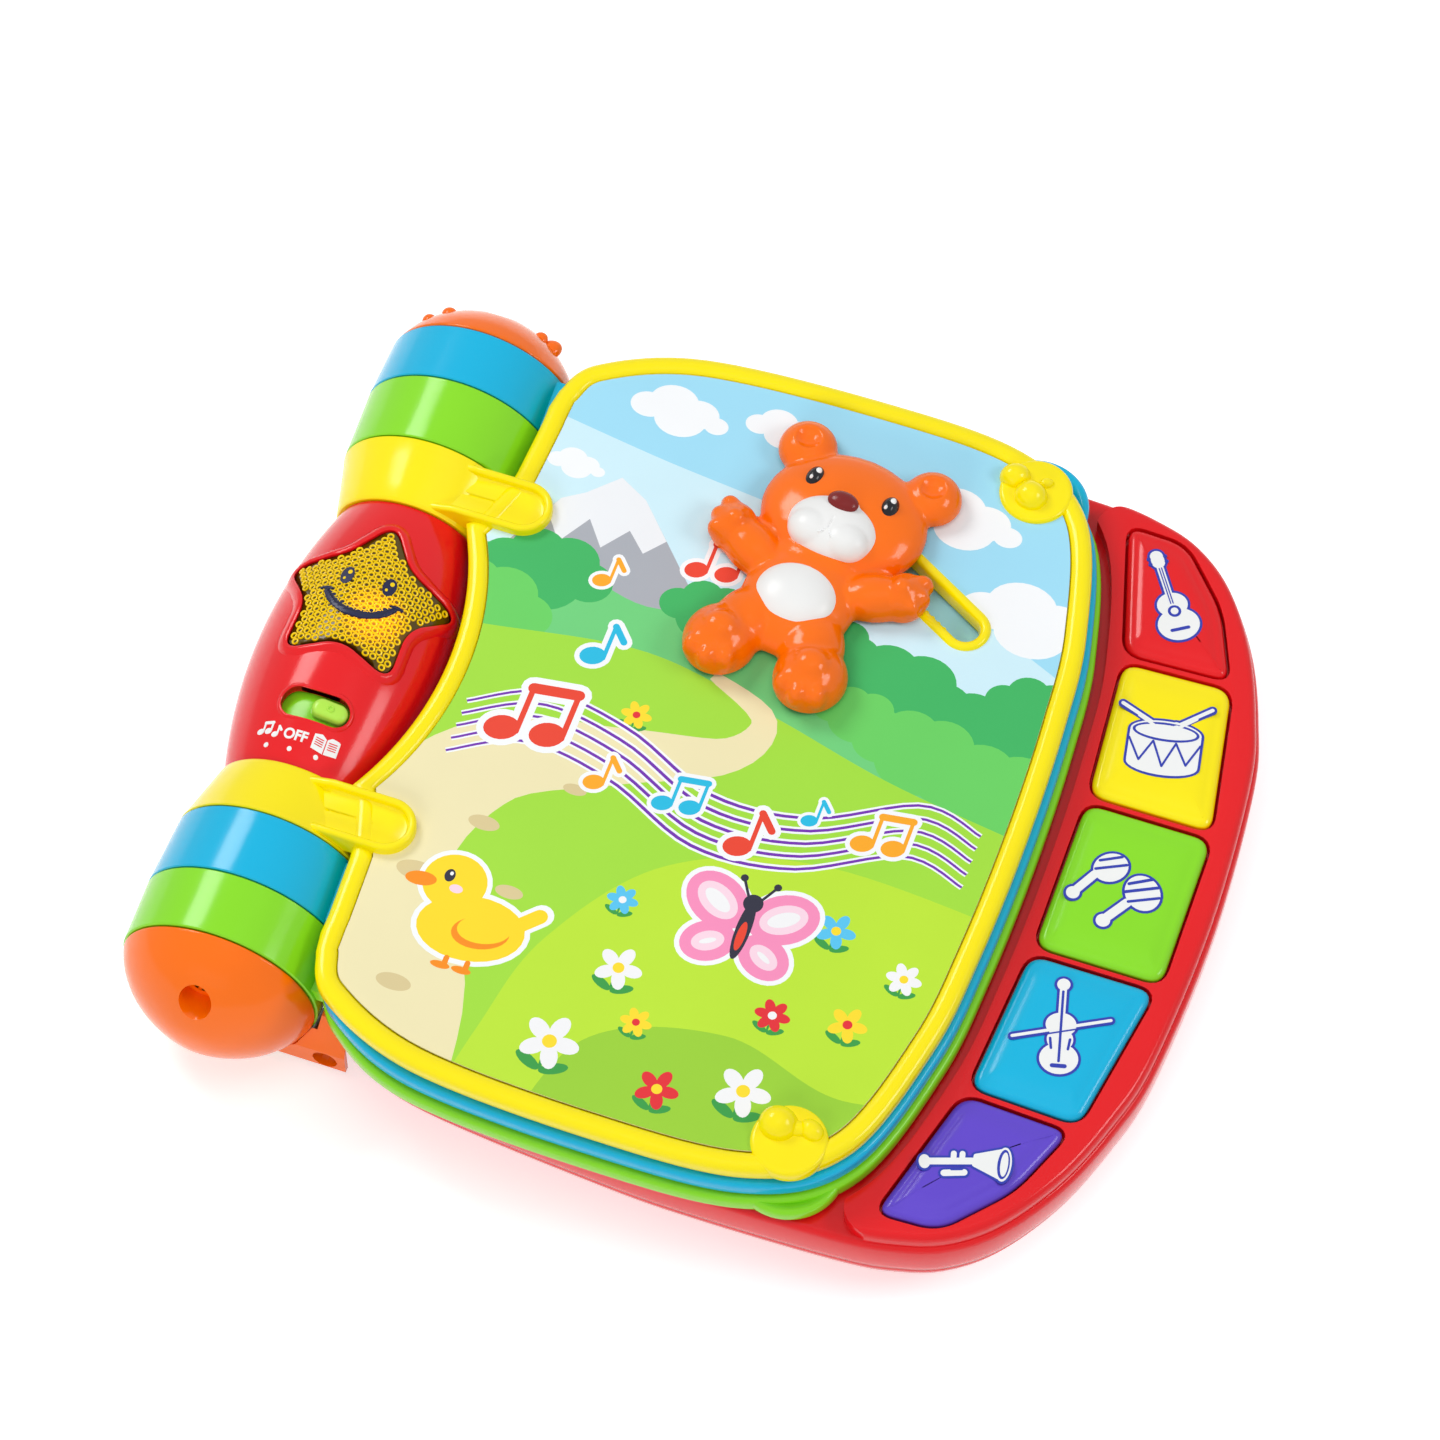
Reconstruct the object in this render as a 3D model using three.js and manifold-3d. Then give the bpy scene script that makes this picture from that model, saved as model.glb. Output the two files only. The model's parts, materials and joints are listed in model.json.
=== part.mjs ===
// Sound book: a musical toy book with a roller spine, hinged board pages, instrument keys,
// a light-up star, a mode switch and a bear that slides in a slot of the cover.
// Millimetres. +Z is up, the spine axis runs along Y and the closed pages lie towards +X.
import * as THREE from 'three';
import { mergeVertices } from 'three/addons/utils/BufferGeometryUtils.js';
import Module from 'manifold-3d';

const wasm = await Module();
wasm.setup();

// Spine: one axis for every page ring
const axisHeight = 29.8;
const barrelHalfLength = 44.6;
const barrelRadius = 29.2;
const barrelEndRadius = 22.3;
const barrelWall = 2.6;
const coverRingLength = 18.7;
const innerRingLength = 20.6;
const outerRingLength = 18.3;
const ringGap = 0.4;
const coverRingEndRadius = 23.3;
const ringJoinRadius = 28.2;
const ringFullRadius = 29.1;
const ringLastRadius = 28.6;
const ringWall = 2.6;
const ringWebThickness = 2.4;
const ringHubWall = 2.2;
const spineTubeRadius = 13;
const spineTubeWall = 2.2;
const shaftClearance = 0.4;
const capLength = 19.8;
const capRimRadius = 28.2;
const capWall = 2.4;

// Pages: board frames stacked over the deck
const deckTop = 33.6;
const pageThickness = 5.6;
const pageGap = 0.6;
const pageStep = 1.6;
const pageHalfLength = 123.2;
const pageRight = 198.2;
const pageSpineClearance = 1.8;
const barrelExtraClearance = 2;
const coverRimWidth = 6;
const coverRimHeight = 0.5;
const pageRimWidth = 7;
const cardThickness = 0.6;
const cardGap = 0.3;
const cardSeat = 0.05;
const cardDepth = 1.2;
const cornerPadRadius = 10.5;
const cornerPadHeight = 0.8;
const cornerPadX = 166.5;
const cornerPadY = 108;
const fingerTabRadius = 15.5;

// Cover straps
const strapEndX = 31.3;
const strapEndRadius = 8.4;
const strapHeight = 2.6;
const strapRimWidth = 2;
const strapPocketDepth = 1.8;
const strapPocketLength = 8;

// Bear slider
const slotStartX = 118;
const slotStartY = 83.5;
const slotEndX = 161.5;
const slotEndY = 58.5;
const slotHalfWidth = 4.2;
const slotRimWidth = 3.1;
const slotRimHeight = 1.8;
const bearPostClearance = 0.5;
const bearRetainerRadius = 7;
const bearRetainerThickness = 2;
const bearFloat = 0.4;
const bearThickness = 10.5;
const bearTilt = -7 * Math.PI / 180;
const bearX = 116;
const bearY = 60;

// Base
const baseRight = 253.6;
const baseHalfLength = 124;
const baseLeft = 31;
const partingHeight = 19;
const seamGap = 0.2;
const shellWall = 2.6;
const bottomRoundHeight = 17;
const bottomRoundInset = 13;
const deckRound = 1.5;
const neckHalfLength = 33;
const neckBottom = 4;

// Keys
const bezelHeight = 4.6;
const bezelInset = 1.5;
const bezelPageClearance = 3;
const bezelRound = 1.6;
const bezelLeft = 184;
const keyClearance = 0.4;
const keyRise = 1;
const keyRound = 1.4;
const keyCornerRadius = 6;
const keyFlangeWidth = 1.3;
const keyFlangeThickness = 1.5;
const keyTravel = 2.2;
const keyStemRadius = 4;
const keyWellMargin = 4;
const boardThickness = 1.6;
const sheetThickness = 0.8;
const domeHeight = 0.5;
const domeRadius = 5;

// Star light and mode switch in the barrel
const starY = 9.3;
const starOuter = 26;
const starInner = 15.5;
const starCorner = 5;
const starClearance = 0.4;
const starLipWidth = 2.2;
const starLipHeight = 0.9;
const starProud = 0.3;
const starThickness = 2.8;
const lightBoardHeight = 38;
const switchY = -27;
const switchSlotHalfLength = 10;
const switchSlotHalfWidth = 4.3;
const switchKnobHalfLength = 5.2;
const switchKnobHalfWidth = 2.7;
const switchTravel = 9;
const switchPlateThickness = 1.8;
const switchPlateGap = 0.3;

// Screws, batteries and electronics
const screwHeadRadius = 3.2;
const screwHeadHeight = 2.2;
const screwShankRadius = 1.5;
const screwShankLength = 6;
const screwHoleClearance = 0.5;
const screwSeat = 0.3;
const capScrewRadius = 4.2;
const capScrewOffset = 15.2;
const footBottom = 5.5;
const footFaceHeight = 7.8;
const footTop = 28;
const footFront = 3;
const footBack = 8;
const footRight = 37;
const footLeft = 13;
const footScrewX = 31;
const batteryRadius = 7.1;
const batteryLength = 50;
const batteryX = 122;
const batteryPitch = 17;
const contactThickness = 0.8;
const doorRearMargin = 0.9;
const doorFrontMargin = 0.7;
const doorBossWall = 2;
const doorWidth = 42;
const doorGap = 0.4;
const speakerRadius = 19;
const speakerHeight = 11;
const speakerX = 68;
const mainBoardX = 150;
const mainBoardY = -62;
const mainBoardLength = 60;
const mainBoardWidth = 44;
const mainBoardHeight = 14;
const postRadius = 3;
const contactReach = batteryLength / 2 + contactThickness + screwSeat;
const doorBossRadius = screwHeadRadius + doorBossWall;
const doorStart = batteryX - contactReach - doorRearMargin;
const doorScrewX = batteryX + contactReach + doorFrontMargin + doorBossRadius;
const doorEnd = doorScrewX + doorBossRadius + doorBossWall;

const colours = {
  yellow: 0xffe600,
  orange: 0xff6a00,
  red: 0xd80f1a,
  blue: 0x00a9de,
  green: 0x62cc1c,
  purple: 0x5a46c8,
  lightGreen: 0x9fe05a,
  amber: 0xffb21e,
  card: 0xb9dd6a,
  white: 0xf4f4f2,
  nose: 0x7a1414,
  black: 0x161616,
  metal: 0xb8babd,
  board: 0x1f6b3a,
  rubber: 0x4a4a4a,
};

const outlineSteps = 28;
const ringSegments = 20;
const holeSegments = 12;

const materials = {};
for (const [name, colour] of Object.entries(colours)) {
  const isMetal = name === 'metal';
  materials[name] = new THREE.MeshStandardMaterial({
    color: colour,
    roughness: isMetal ? 0.35 : 0.3,
    metalness: isMetal ? 1 : 0,
  });
}

// Solids from closed geometry, and back
function toSolid(source) {
  const geometry = source.clone();
  geometry.deleteAttribute('normal');
  geometry.deleteAttribute('uv');
  const merged = mergeVertices(geometry, 1e-4);
  const index = merged.index.array;
  const kept = [];
  for (let i = 0; i < index.length; i += 3) {
    const [a, b, c] = [index[i], index[i + 1], index[i + 2]];
    if (a !== b && b !== c && c !== a) kept.push(a, b, c);
  }
  return new wasm.Manifold(new wasm.Mesh({
    numProp: 3,
    vertProperties: new Float32Array(merged.attributes.position.array),
    triVerts: new Uint32Array(kept),
  }));
}

function toGeometry(solid) {
  const mesh = solid.getMesh();
  const geometry = new THREE.BufferGeometry();
  geometry.setAttribute('position', new THREE.BufferAttribute(new Float32Array(mesh.vertProperties), 3));
  geometry.setIndex(new THREE.BufferAttribute(new Uint32Array(mesh.triVerts), 1));
  geometry.computeVertexNormals();
  return geometry;
}

const unite = (...solids) => solids.reduce((sum, item) => sum.add(item));
const cut = (body, ...tools) => tools.reduce((rest, tool) => rest.subtract(tool), body);

// Book group and naming
const book = new THREE.Group();

function addPart(name, solid, material) {
  const mesh = new THREE.Mesh(toGeometry(solid), materials[material]);
  mesh.name = name;
  book.add(mesh);
  return mesh;
}

// Basic solids placed in the book's frame
function box(x0, x1, y0, y1, z0, z1) {
  const geometry = new THREE.BoxGeometry(x1 - x0, y1 - y0, z1 - z0);
  geometry.translate((x0 + x1) / 2, (y0 + y1) / 2, (z0 + z1) / 2);
  return toSolid(geometry);
}

function cylinderZ(x, y, z0, z1, radius, segments = holeSegments) {
  const geometry = new THREE.CylinderGeometry(radius, radius, z1 - z0, segments);
  geometry.rotateX(Math.PI / 2);
  geometry.translate(x, y, (z0 + z1) / 2);
  return toSolid(geometry);
}

function cylinderY(x, z, y0, y1, radius, segments = holeSegments) {
  const geometry = new THREE.CylinderGeometry(radius, radius, Math.abs(y1 - y0), segments);
  geometry.translate(x, (y0 + y1) / 2, z);
  return toSolid(geometry);
}

function cylinderX(y, z, x0, x1, radius, segments = holeSegments) {
  const geometry = new THREE.CylinderGeometry(radius, radius, x1 - x0, segments);
  geometry.rotateZ(Math.PI / 2);
  geometry.translate((x0 + x1) / 2, y, z);
  return toSolid(geometry);
}

// A profile of [radius, distance along the spine] points turned about the spine axis.
// side is 1 for the far half of the spine and -1 for the near half.
function turned(profile, side = 1, segments = ringSegments) {
  const points = profile.map(([radius, y]) => new THREE.Vector2(radius, y));
  if (side < 0) {
    points.reverse();
    points.forEach((point) => point.set(point.x, -point.y));
  }
  const geometry = new THREE.LatheGeometry(points, segments);
  geometry.translate(0, 0, axisHeight);
  const solid = toSolid(geometry);
  return solid.volume() > 0 ? solid : flipped(geometry);
}

function flipped(geometry) {
  const turnedOver = geometry.clone();
  const index = turnedOver.index.array;
  for (let i = 0; i < index.length; i += 3) {
    [index[i + 1], index[i + 2]] = [index[i + 2], index[i + 1]];
  }
  return toSolid(turnedOver);
}

function prism(points, z0, z1) {
  const shape = new THREE.Shape(points);
  const geometry = new THREE.ExtrudeGeometry(shape, { depth: z1 - z0, bevelEnabled: false });
  geometry.translate(0, 0, z0);
  return toSolid(geometry);
}

// A prism whose top and bottom edges are rounded inward by inset over a height
function pillow(points, z0, z1, inset, height, segments = 2) {
  const shape = new THREE.Shape(points);
  const geometry = new THREE.ExtrudeGeometry(shape, {
    depth: z1 - z0 - 2 * height,
    bevelEnabled: true,
    bevelSize: inset,
    bevelOffset: -inset,
    bevelThickness: height,
    bevelSegments: segments,
  });
  geometry.translate(0, 0, z0 + height);
  return toSolid(geometry);
}

function mirrorY(points) {
  return points.map((point) => new THREE.Vector2(point.x, -point.y)).reverse();
}

// A polygon with its corners rounded
function roundedPolygon(corners, radius, steps = 4) {
  const points = [];
  corners.forEach((corner, i) => {
    const before = corners[(i + corners.length - 1) % corners.length];
    const after = corners[(i + 1) % corners.length];
    const start = corner.clone().add(before.clone().sub(corner).setLength(radius));
    const end = corner.clone().add(after.clone().sub(corner).setLength(radius));
    const curve = new THREE.QuadraticBezierCurve(start, corner, end);
    points.push(...curve.getPoints(steps));
  });
  return points;
}

// Points of an outline moved outward by a distance, for outlines that run anticlockwise
function grown(points, distance) {
  return points.map((point, i) => {
    const before = points[(i + points.length - 1) % points.length];
    const after = points[(i + 1) % points.length];
    const inward = point.clone().sub(before).normalize();
    const outward = after.clone().sub(point).normalize();
    const tangent = inward.add(outward).normalize();
    const bend = Math.max(0.6, tangent.dot(outward));
    const reach = distance / bend;
    return new THREE.Vector2(point.x + tangent.y * reach, point.y - tangent.x * reach);
  });
}

function capsule(x0, y0, x1, y1, radius, steps = 5) {
  const angle = Math.atan2(y1 - y0, x1 - x0);
  const points = [];
  for (let i = 0; i <= steps; i += 1) {
    const turn = angle - Math.PI / 2 + Math.PI * i / steps;
    points.push(new THREE.Vector2(x1 + radius * Math.cos(turn), y1 + radius * Math.sin(turn)));
  }
  for (let i = 0; i <= steps; i += 1) {
    const turn = angle + Math.PI / 2 + Math.PI * i / steps;
    points.push(new THREE.Vector2(x0 + radius * Math.cos(turn), y0 + radius * Math.sin(turn)));
  }
  return points;
}

// Where each ring starts and ends along the spine
const coverRingStart = barrelHalfLength + ringGap;
const innerRingStart = coverRingStart + coverRingLength + ringGap;
const outerRingStart = innerRingStart + innerRingLength + ringGap;
const capStart = outerRingStart + outerRingLength + ringGap;
const capEnd = capStart + capLength;

// Outer radius of the spine at a distance along it from the middle
function spineRadius(y) {
  const distance = Math.abs(y);
  if (distance <= coverRingStart) {
    return barrelRadius - (barrelRadius - barrelEndRadius) * (distance / barrelHalfLength) ** 2;
  }
  if (distance <= innerRingStart) {
    const share = (distance - coverRingStart) / (innerRingStart - coverRingStart);
    return THREE.MathUtils.lerp(coverRingEndRadius, ringJoinRadius, share);
  }
  if (distance <= outerRingStart) {
    const share = (distance - innerRingStart) / (outerRingStart - innerRingStart);
    return THREE.MathUtils.lerp(ringJoinRadius, ringFullRadius, share);
  }
  const share = Math.min(1, (distance - outerRingStart) / outerRingLength);
  return THREE.MathUtils.lerp(ringFullRadius, ringLastRadius, share);
}

// Page outline: a curve around the free edges and an edge that clears the spine
const pageCurve = [
  [1, 0],
  [0.995, 0.3],
  [0.979, 0.555],
  [0.921, 0.85],
  [0.8, 0.976],
  [0.585, 1],
  [0.318, 0.975],
].map(([x, y]) => [x * pageRight, y * pageHalfLength]);
const pageCornerReach = 8;
const pageCornerStart = 15;
const pageCornerEnd = 27;

// Where a page's spine-side edge lies at a distance along the spine, for its lowest height over the axis
function spineEdge(y, lowest) {
  const belly = barrelExtraClearance * Math.max(0, 1 - (y / barrelHalfLength) ** 2);
  const reach = spineRadius(y) + pageSpineClearance + belly;
  return Math.sqrt(reach ** 2 - lowest ** 2);
}

function pageOutline(grow, lowest, inset = 0) {
  const edge = spineEdge(outerRingStart, lowest);
  const half = [...pageCurve, [edge + pageCornerReach, pageHalfLength - pageCornerStart],
    [edge + 0.8, pageHalfLength - pageCornerEnd]].map(([x, y]) => new THREE.Vector2(x, y));
  const whole = [...mirrorY(half.slice(1)), ...half];
  const curve = new THREE.SplineCurve(whole);
  const free = curve.getPoints(outlineSteps).map((point, i) => {
    const tangent = curve.getTangent(i / outlineSteps);
    return new THREE.Vector2(point.x + tangent.y * (grow - inset), point.y - tangent.x * (grow - inset));
  });
  const inner = [];
  const top = pageHalfLength - pageCornerEnd - 6 - inset / 2;
  const steps = 12;
  for (let i = 0; i <= steps; i += 1) {
    const y = top - 2 * top * i / steps;
    inner.push(new THREE.Vector2(spineEdge(y, lowest) + inset, y));
  }
  return [...free, ...inner];
}

// Page heights, from the deck up
const greenBottom = deckTop + pageGap;
const blueBottom = greenBottom + pageThickness + pageGap;
const coverBottom = blueBottom + pageThickness + pageGap;
const coverTop = coverBottom + pageThickness;
const pageOrder = [
  { name: 'green', bottom: greenBottom, grow: 2 * pageStep, farRing: innerRingStart,
    nearRing: outerRingStart,
    tabSide: -1 },
  { name: 'blue', bottom: blueBottom, grow: pageStep, farRing: outerRingStart, nearRing: innerRingStart,
    tabSide: 1 },
];

// One ring: outer wall, web and hub, open to both sides
function ring(start, side) {
  const end = start + ringLength(start);
  const web = (start + end) / 2;
  const hubInner = spineTubeRadius + shaftClearance;
  const hubOuter = hubInner + ringHubWall;
  const startOuter = spineRadius(start + 0.01);
  const endOuter = spineRadius(end);
  const webInner = (startOuter + endOuter) / 2 - ringWall;
  return turned([
    [startOuter, start],
    [endOuter, end],
    [endOuter - ringWall, end],
    [webInner, web + ringWebThickness / 2],
    [hubOuter, web + ringWebThickness / 2],
    [hubOuter, end],
    [hubInner, end],
    [hubInner, start],
    [hubOuter, start],
    [hubOuter, web - ringWebThickness / 2],
    [webInner, web - ringWebThickness / 2],
    [startOuter - ringWall, start],
    [startOuter, start],
  ], side);
}

function ringLength(start) {
  if (start === innerRingStart) return innerRingLength;
  if (start === outerRingStart) return outerRingLength;
  return coverRingLength;
}

// The web of board that joins a ring to its page, kept inside the ring's own band
function ringBridge(start, side, z0, z1, reach) {
  const inset = 1.2;
  const y0 = side * (start + inset);
  const y1 = side * (start + ringLength(start) - inset);
  const bridge = box(spineTubeRadius + ringHubWall + 3, reach, Math.min(y0, y1), Math.max(y0, y1), z0, z1);
  const bore = cylinderY(0, axisHeight, y0 - side * 5, y1 + side * 5,
    spineRadius(start + 0.01) - ringWall, ringSegments);
  return cut(bridge, bore);
}

function pageCards(grow, bottom, rim) {
  const cardOutline = pageOutline(grow, bottom - axisHeight, rim);
  const pocketFloor = bottom + pageThickness - cardDepth;
  const backFloor = bottom + cardDepth;
  const cardShape = pageOutline(grow, bottom - axisHeight, rim + cardGap);
  return {
    frontPocket: prism(cardOutline, pocketFloor, bottom + pageThickness + 5),
    backPocket: prism(cardOutline, bottom - 5, backFloor),
    front: prism(cardShape, pocketFloor + cardSeat, pocketFloor + cardSeat + cardThickness),
    back: prism(cardShape, backFloor - cardSeat - cardThickness, backFloor - cardSeat),
  };
}

for (const page of pageOrder) {
  const outline = pageOutline(page.grow, page.bottom - axisHeight);
  const top = page.bottom + pageThickness;
  const cards = pageCards(page.grow, page.bottom, pageRimWidth + page.grow);
  const board = pillow(outline, page.bottom, top, 0.7, 0.7, 1);
  const tab = cylinderZ(cornerPadX, page.tabSide * cornerPadY, page.bottom + 0.4, top - 0.4,
    fingerTabRadius, 24);
  const rings = [[page.farRing, 1], [page.nearRing, -1]];
  let frame = cut(unite(board, tab), cards.frontPocket, cards.backPocket);
  for (const [start, side] of rings) {
    frame = unite(frame, ring(start, side), ringBridge(start, side, page.bottom, top,
      spineEdge(start, page.bottom - axisHeight) + 3));
  }
  addPart(`${page.name}_page_frame`, frame, page.name);
  addPart(`${page.name}_page_front_card`, cards.front, 'card');
  addPart(`${page.name}_page_back_card`, cards.back, 'card');
}

// Cover: frame with rim, straps, slot rim and corner pads
const slotCentres = [slotStartX, slotStartY, slotEndX, slotEndY];
const retainerHalfWidth = bearRetainerRadius + shaftClearance;
const retainerTop = coverBottom + bearRetainerThickness + shaftClearance + 0.2;
{
  const outline = pageOutline(0, coverBottom - axisHeight);
  const cards = pageCards(0, coverBottom, coverRimWidth);
  const rimTop = coverTop + coverRimHeight;
  const padTop = coverTop + cornerPadHeight;
  const strapTop = coverTop + strapHeight;
  const slotTop = coverTop + slotRimHeight - cardDepth;
  const board = pillow(outline, coverBottom, rimTop, 1.2, 1.2, 2);
  const slotHole = prism(capsule(...slotCentres, slotHalfWidth), coverBottom - 5, slotTop + 5);
  const slotRim = prism(capsule(...slotCentres, slotHalfWidth + slotRimWidth), retainerTop, slotTop);
  const slotBack = prism(capsule(...slotCentres, retainerHalfWidth), coverBottom - 5, retainerTop);
  const slotSleeve = prism(capsule(...slotCentres, retainerHalfWidth + 1.6), coverBottom,
    retainerTop + 0.4);
  const pads = [1, -1].map((side) => {
    const pad = cylinderZ(cornerPadX, side * cornerPadY, coverBottom + 1, padTop, cornerPadRadius, 20);
    return pad.intersect(prism(pageOutline(0, coverBottom - axisHeight, 1.2), coverBottom, padTop + 1));
  });
  let frame = cut(board, cards.frontPocket, cards.backPocket);
  frame = unite(frame, ...pads, slotRim, slotSleeve);
  for (const side of [1, -1]) {
    const strapY = side * (coverRingStart + coverRingLength / 2);
    const strapStart = 6;
    const strap = pillow(capsule(strapStart, strapY, strapEndX, strapY, strapEndRadius),
      coverBottom, strapTop, 0.8, 0.8, 1);
    const pocket = prism(capsule(strapEndX - strapPocketLength, strapY, strapEndX, strapY,
      strapEndRadius - strapRimWidth), strapTop - strapPocketDepth, strapTop + 1);
    const bore = cylinderY(0, axisHeight, strapY - 12, strapY + 12, coverRingEndRadius - ringWall,
      ringSegments);
    frame = unite(frame, cut(strap, pocket, bore), ring(coverRingStart, side));
  }
  frame = cut(frame, slotBack, slotHole);
  const padHoles = [1, -1].map((side) => cylinderZ(cornerPadX, side * cornerPadY, coverBottom, padTop + 1,
    cornerPadRadius + cardGap, 20));
  const strapHoles = [1, -1].map((side) => {
    const strapY = side * (coverRingStart + coverRingLength / 2);
    return prism(capsule(0, strapY, strapEndX, strapY, strapEndRadius + cardGap), coverBottom - 1,
      strapTop);
  });
  const rimHole = prism(capsule(...slotCentres, slotHalfWidth + slotRimWidth + cardGap),
    retainerTop, slotTop + 1);
  const sleeveHole = prism(capsule(...slotCentres, retainerHalfWidth + 1.6 + cardGap),
    coverBottom - 1, retainerTop + 0.5);
  addPart('cover_frame', frame, 'yellow');
  addPart('cover_front_card', cut(cards.front, rimHole, ...padHoles, ...strapHoles), 'card');
  addPart('cover_back_card', cut(cards.back, sleeveHole, ...padHoles, ...strapHoles), 'card');
}

// Bear: a plain seated teddy with both arms out, made of flattened balls
const bearBase = coverTop + slotRimHeight - cardDepth + bearFloat;

function bearPoint(x, y) {
  const point = new THREE.Vector2(x, y).rotateAround(new THREE.Vector2(0, 0), bearTilt);
  return [bearX + point.x, bearY + point.y];
}

function bearBall(x, y, z, radiusX, radiusY, radiusZ, turn = 0, detail = 10) {
  const [px, py] = bearPoint(x, y);
  const geometry = new THREE.SphereGeometry(1, detail, 6);
  geometry.scale(radiusX, radiusY, radiusZ);
  geometry.rotateZ(turn * Math.PI / 180 + bearTilt);
  geometry.translate(px, py, bearBase + z);
  return toSolid(geometry);
}

function aboveBearBase(solid, height = 0) {
  return solid.intersect(box(bearX - 70, bearX + 70, bearY - 70, bearY + 70, bearBase + height,
    bearBase + 40));
}

{
  const head = bearBall(0, 20, 1, 26, 21, bearThickness - 1.5, 0, 14);
  const belly = bearBall(0, -11, 1, 18, 21, bearThickness - 2.5, 0, 12);
  const limbs = [1, -1].flatMap((side) => [
    bearBall(side * 20, 38, 1, 8.5, 8.5, 6.5),
    bearBall(side * 25, 1, 1, 13.5, 8, 7.5, side * 24),
    bearBall(side * 17, -32, 1, 12.5, 12, 9),
  ]);
  const [beltX, beltY] = [slotStartX, slotStartY];
  const postRadiusBear = slotHalfWidth - bearPostClearance;
  const post = cylinderZ(beltX, beltY, retainerTop + 0.1, bearBase + 4, postRadiusBear);
  const patches = {
    muzzle: [0, 14, bearThickness - 4.5, 12.5, 10.5, 6.2, bearThickness - 5.5],
    tummy: [0, -10, bearThickness - 7, 10.5, 12.5, 6.4, bearThickness - 5],
    nose: [0, 19, bearThickness + 0.6, 4.2, 2.8, 2, bearThickness],
    eyeRight: [11, 26, bearThickness - 4.2, 2.2, 3, 3.4, bearThickness - 4],
    eyeLeft: [-11, 26, bearThickness - 4.2, 2.2, 3, 3.4, bearThickness - 4],
  };
  const patch = (name, grow = 0) => {
    const [x, y, z, radiusX, radiusY, radiusZ, floor] = patches[name];
    return aboveBearBase(bearBall(x, y, z, radiusX + grow, radiusY + grow, radiusZ + grow), floor - grow);
  };
  const gap = 0.1;
  const muzzleBody = cut(patch('muzzle'), patch('nose', gap));
  let body = aboveBearBase(unite(head, belly, ...limbs));
  body = cut(body, ...['muzzle', 'tummy', 'eyeRight', 'eyeLeft'].map((name) => patch(name, gap)));
  addPart('bear_body', unite(body, post), 'orange');
  addPart('bear_muzzle', muzzleBody, 'white');
  addPart('bear_tummy', patch('tummy'), 'white');
  addPart('bear_nose', patch('nose'), 'nose');
  addPart('bear_eye_right', patch('eyeRight'), 'black');
  addPart('bear_eye_left', patch('eyeLeft'), 'black');
  const plateBottom = coverBottom + 0.2;
  const plate = cylinderZ(beltX, beltY, plateBottom, plateBottom + bearRetainerThickness,
    bearRetainerRadius);
  addPart('bear_retainer', plate, 'orange');
}

// Base outline and shells
// As shares of the base's reach along the spine's side and of its half length
const baseCurve = [
  [1, 0],
  [0.99, 0.371],
  [0.9705, 0.544],
  [0.939, 0.71],
  [0.894, 0.851],
  [0.845, 0.934],
  [0.793, 0.972],
  [0.7295, 0.99],
  [0.5797, 0.998],
  [0.4614, 0.991],
  [0.2484, 0.949],
  [0.1656, 0.887],
  [0.1321, 0.806],
].map(([x, y]) => [x * baseRight, y * baseHalfLength]);

function baseOutline(grow) {
  const half = baseCurve.map(([x, y]) => new THREE.Vector2(x, y));
  const curve = new THREE.SplineCurve([...mirrorY(half.slice(1)), ...half]);
  const free = curve.getPoints(outlineSteps + 6);
  const edge = [2, 1, 0, -1, -2].map((i) => new THREE.Vector2(baseLeft, i * baseHalfLength * 0.363));
  return grown([...free, ...edge], grow);
}

// Crescent that holds the keys, between the base edge and the pages
function crescent(outerInset, innerGrow, left, z0, z1) {
  const outer = pillow(baseOutline(-outerInset), z0 - bezelRound - 1, z1, bezelRound, bezelRound, 2);
  const inner = prism(pageOutline(innerGrow, 0), z0 - 10, z1 + 10);
  const keep = box(left, baseRight + 20, -baseHalfLength - 20, baseHalfLength + 20, z0, z1 + 5);
  return cut(outer, inner).intersect(keep);
}

const keyOutlines = {
  guitar: [[0.757, 0.927], [0.831, 0.921], [0.93, 0.595], [0.803, 0.584]],
  drum: [[0.805, 0.574], [0.935, 0.584], [0.966, 0.207], [0.819, 0.207]],
  maracas: [[0.8195, 0.1975], [0.969, 0.1975], [0.969, -0.1975], [0.8195, -0.1975]],
};
const keySets = [
  { name: 'guitar', corners: keyOutlines.guitar, colour: 'red', side: 1 },
  { name: 'drum', corners: keyOutlines.drum, colour: 'yellow', side: 1 },
  { name: 'maracas', corners: keyOutlines.maracas, colour: 'green', side: 1 },
  { name: 'violin', corners: keyOutlines.drum, colour: 'blue', side: -1 },
  { name: 'trumpet', corners: keyOutlines.guitar, colour: 'purple', side: -1 },
];

function keyOutline(set, grow) {
  const corners = set.corners.map(([x, y]) => new THREE.Vector2(x * baseRight, y * baseHalfLength));
  const ordered = set.side > 0 ? corners : mirrorY(corners);
  const points = roundedPolygon(ordered, keyCornerRadius);
  const isClockwise = THREE.ShapeUtils.isClockWise(points);
  return grown(isClockwise ? points.reverse() : points, grow - keyClearance);
}

function keyCentre(set) {
  const points = keyOutline(set, 0);
  const sum = points.reduce((total, point) => total.add(point), new THREE.Vector2());
  return sum.divideScalar(points.length);
}

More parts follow.
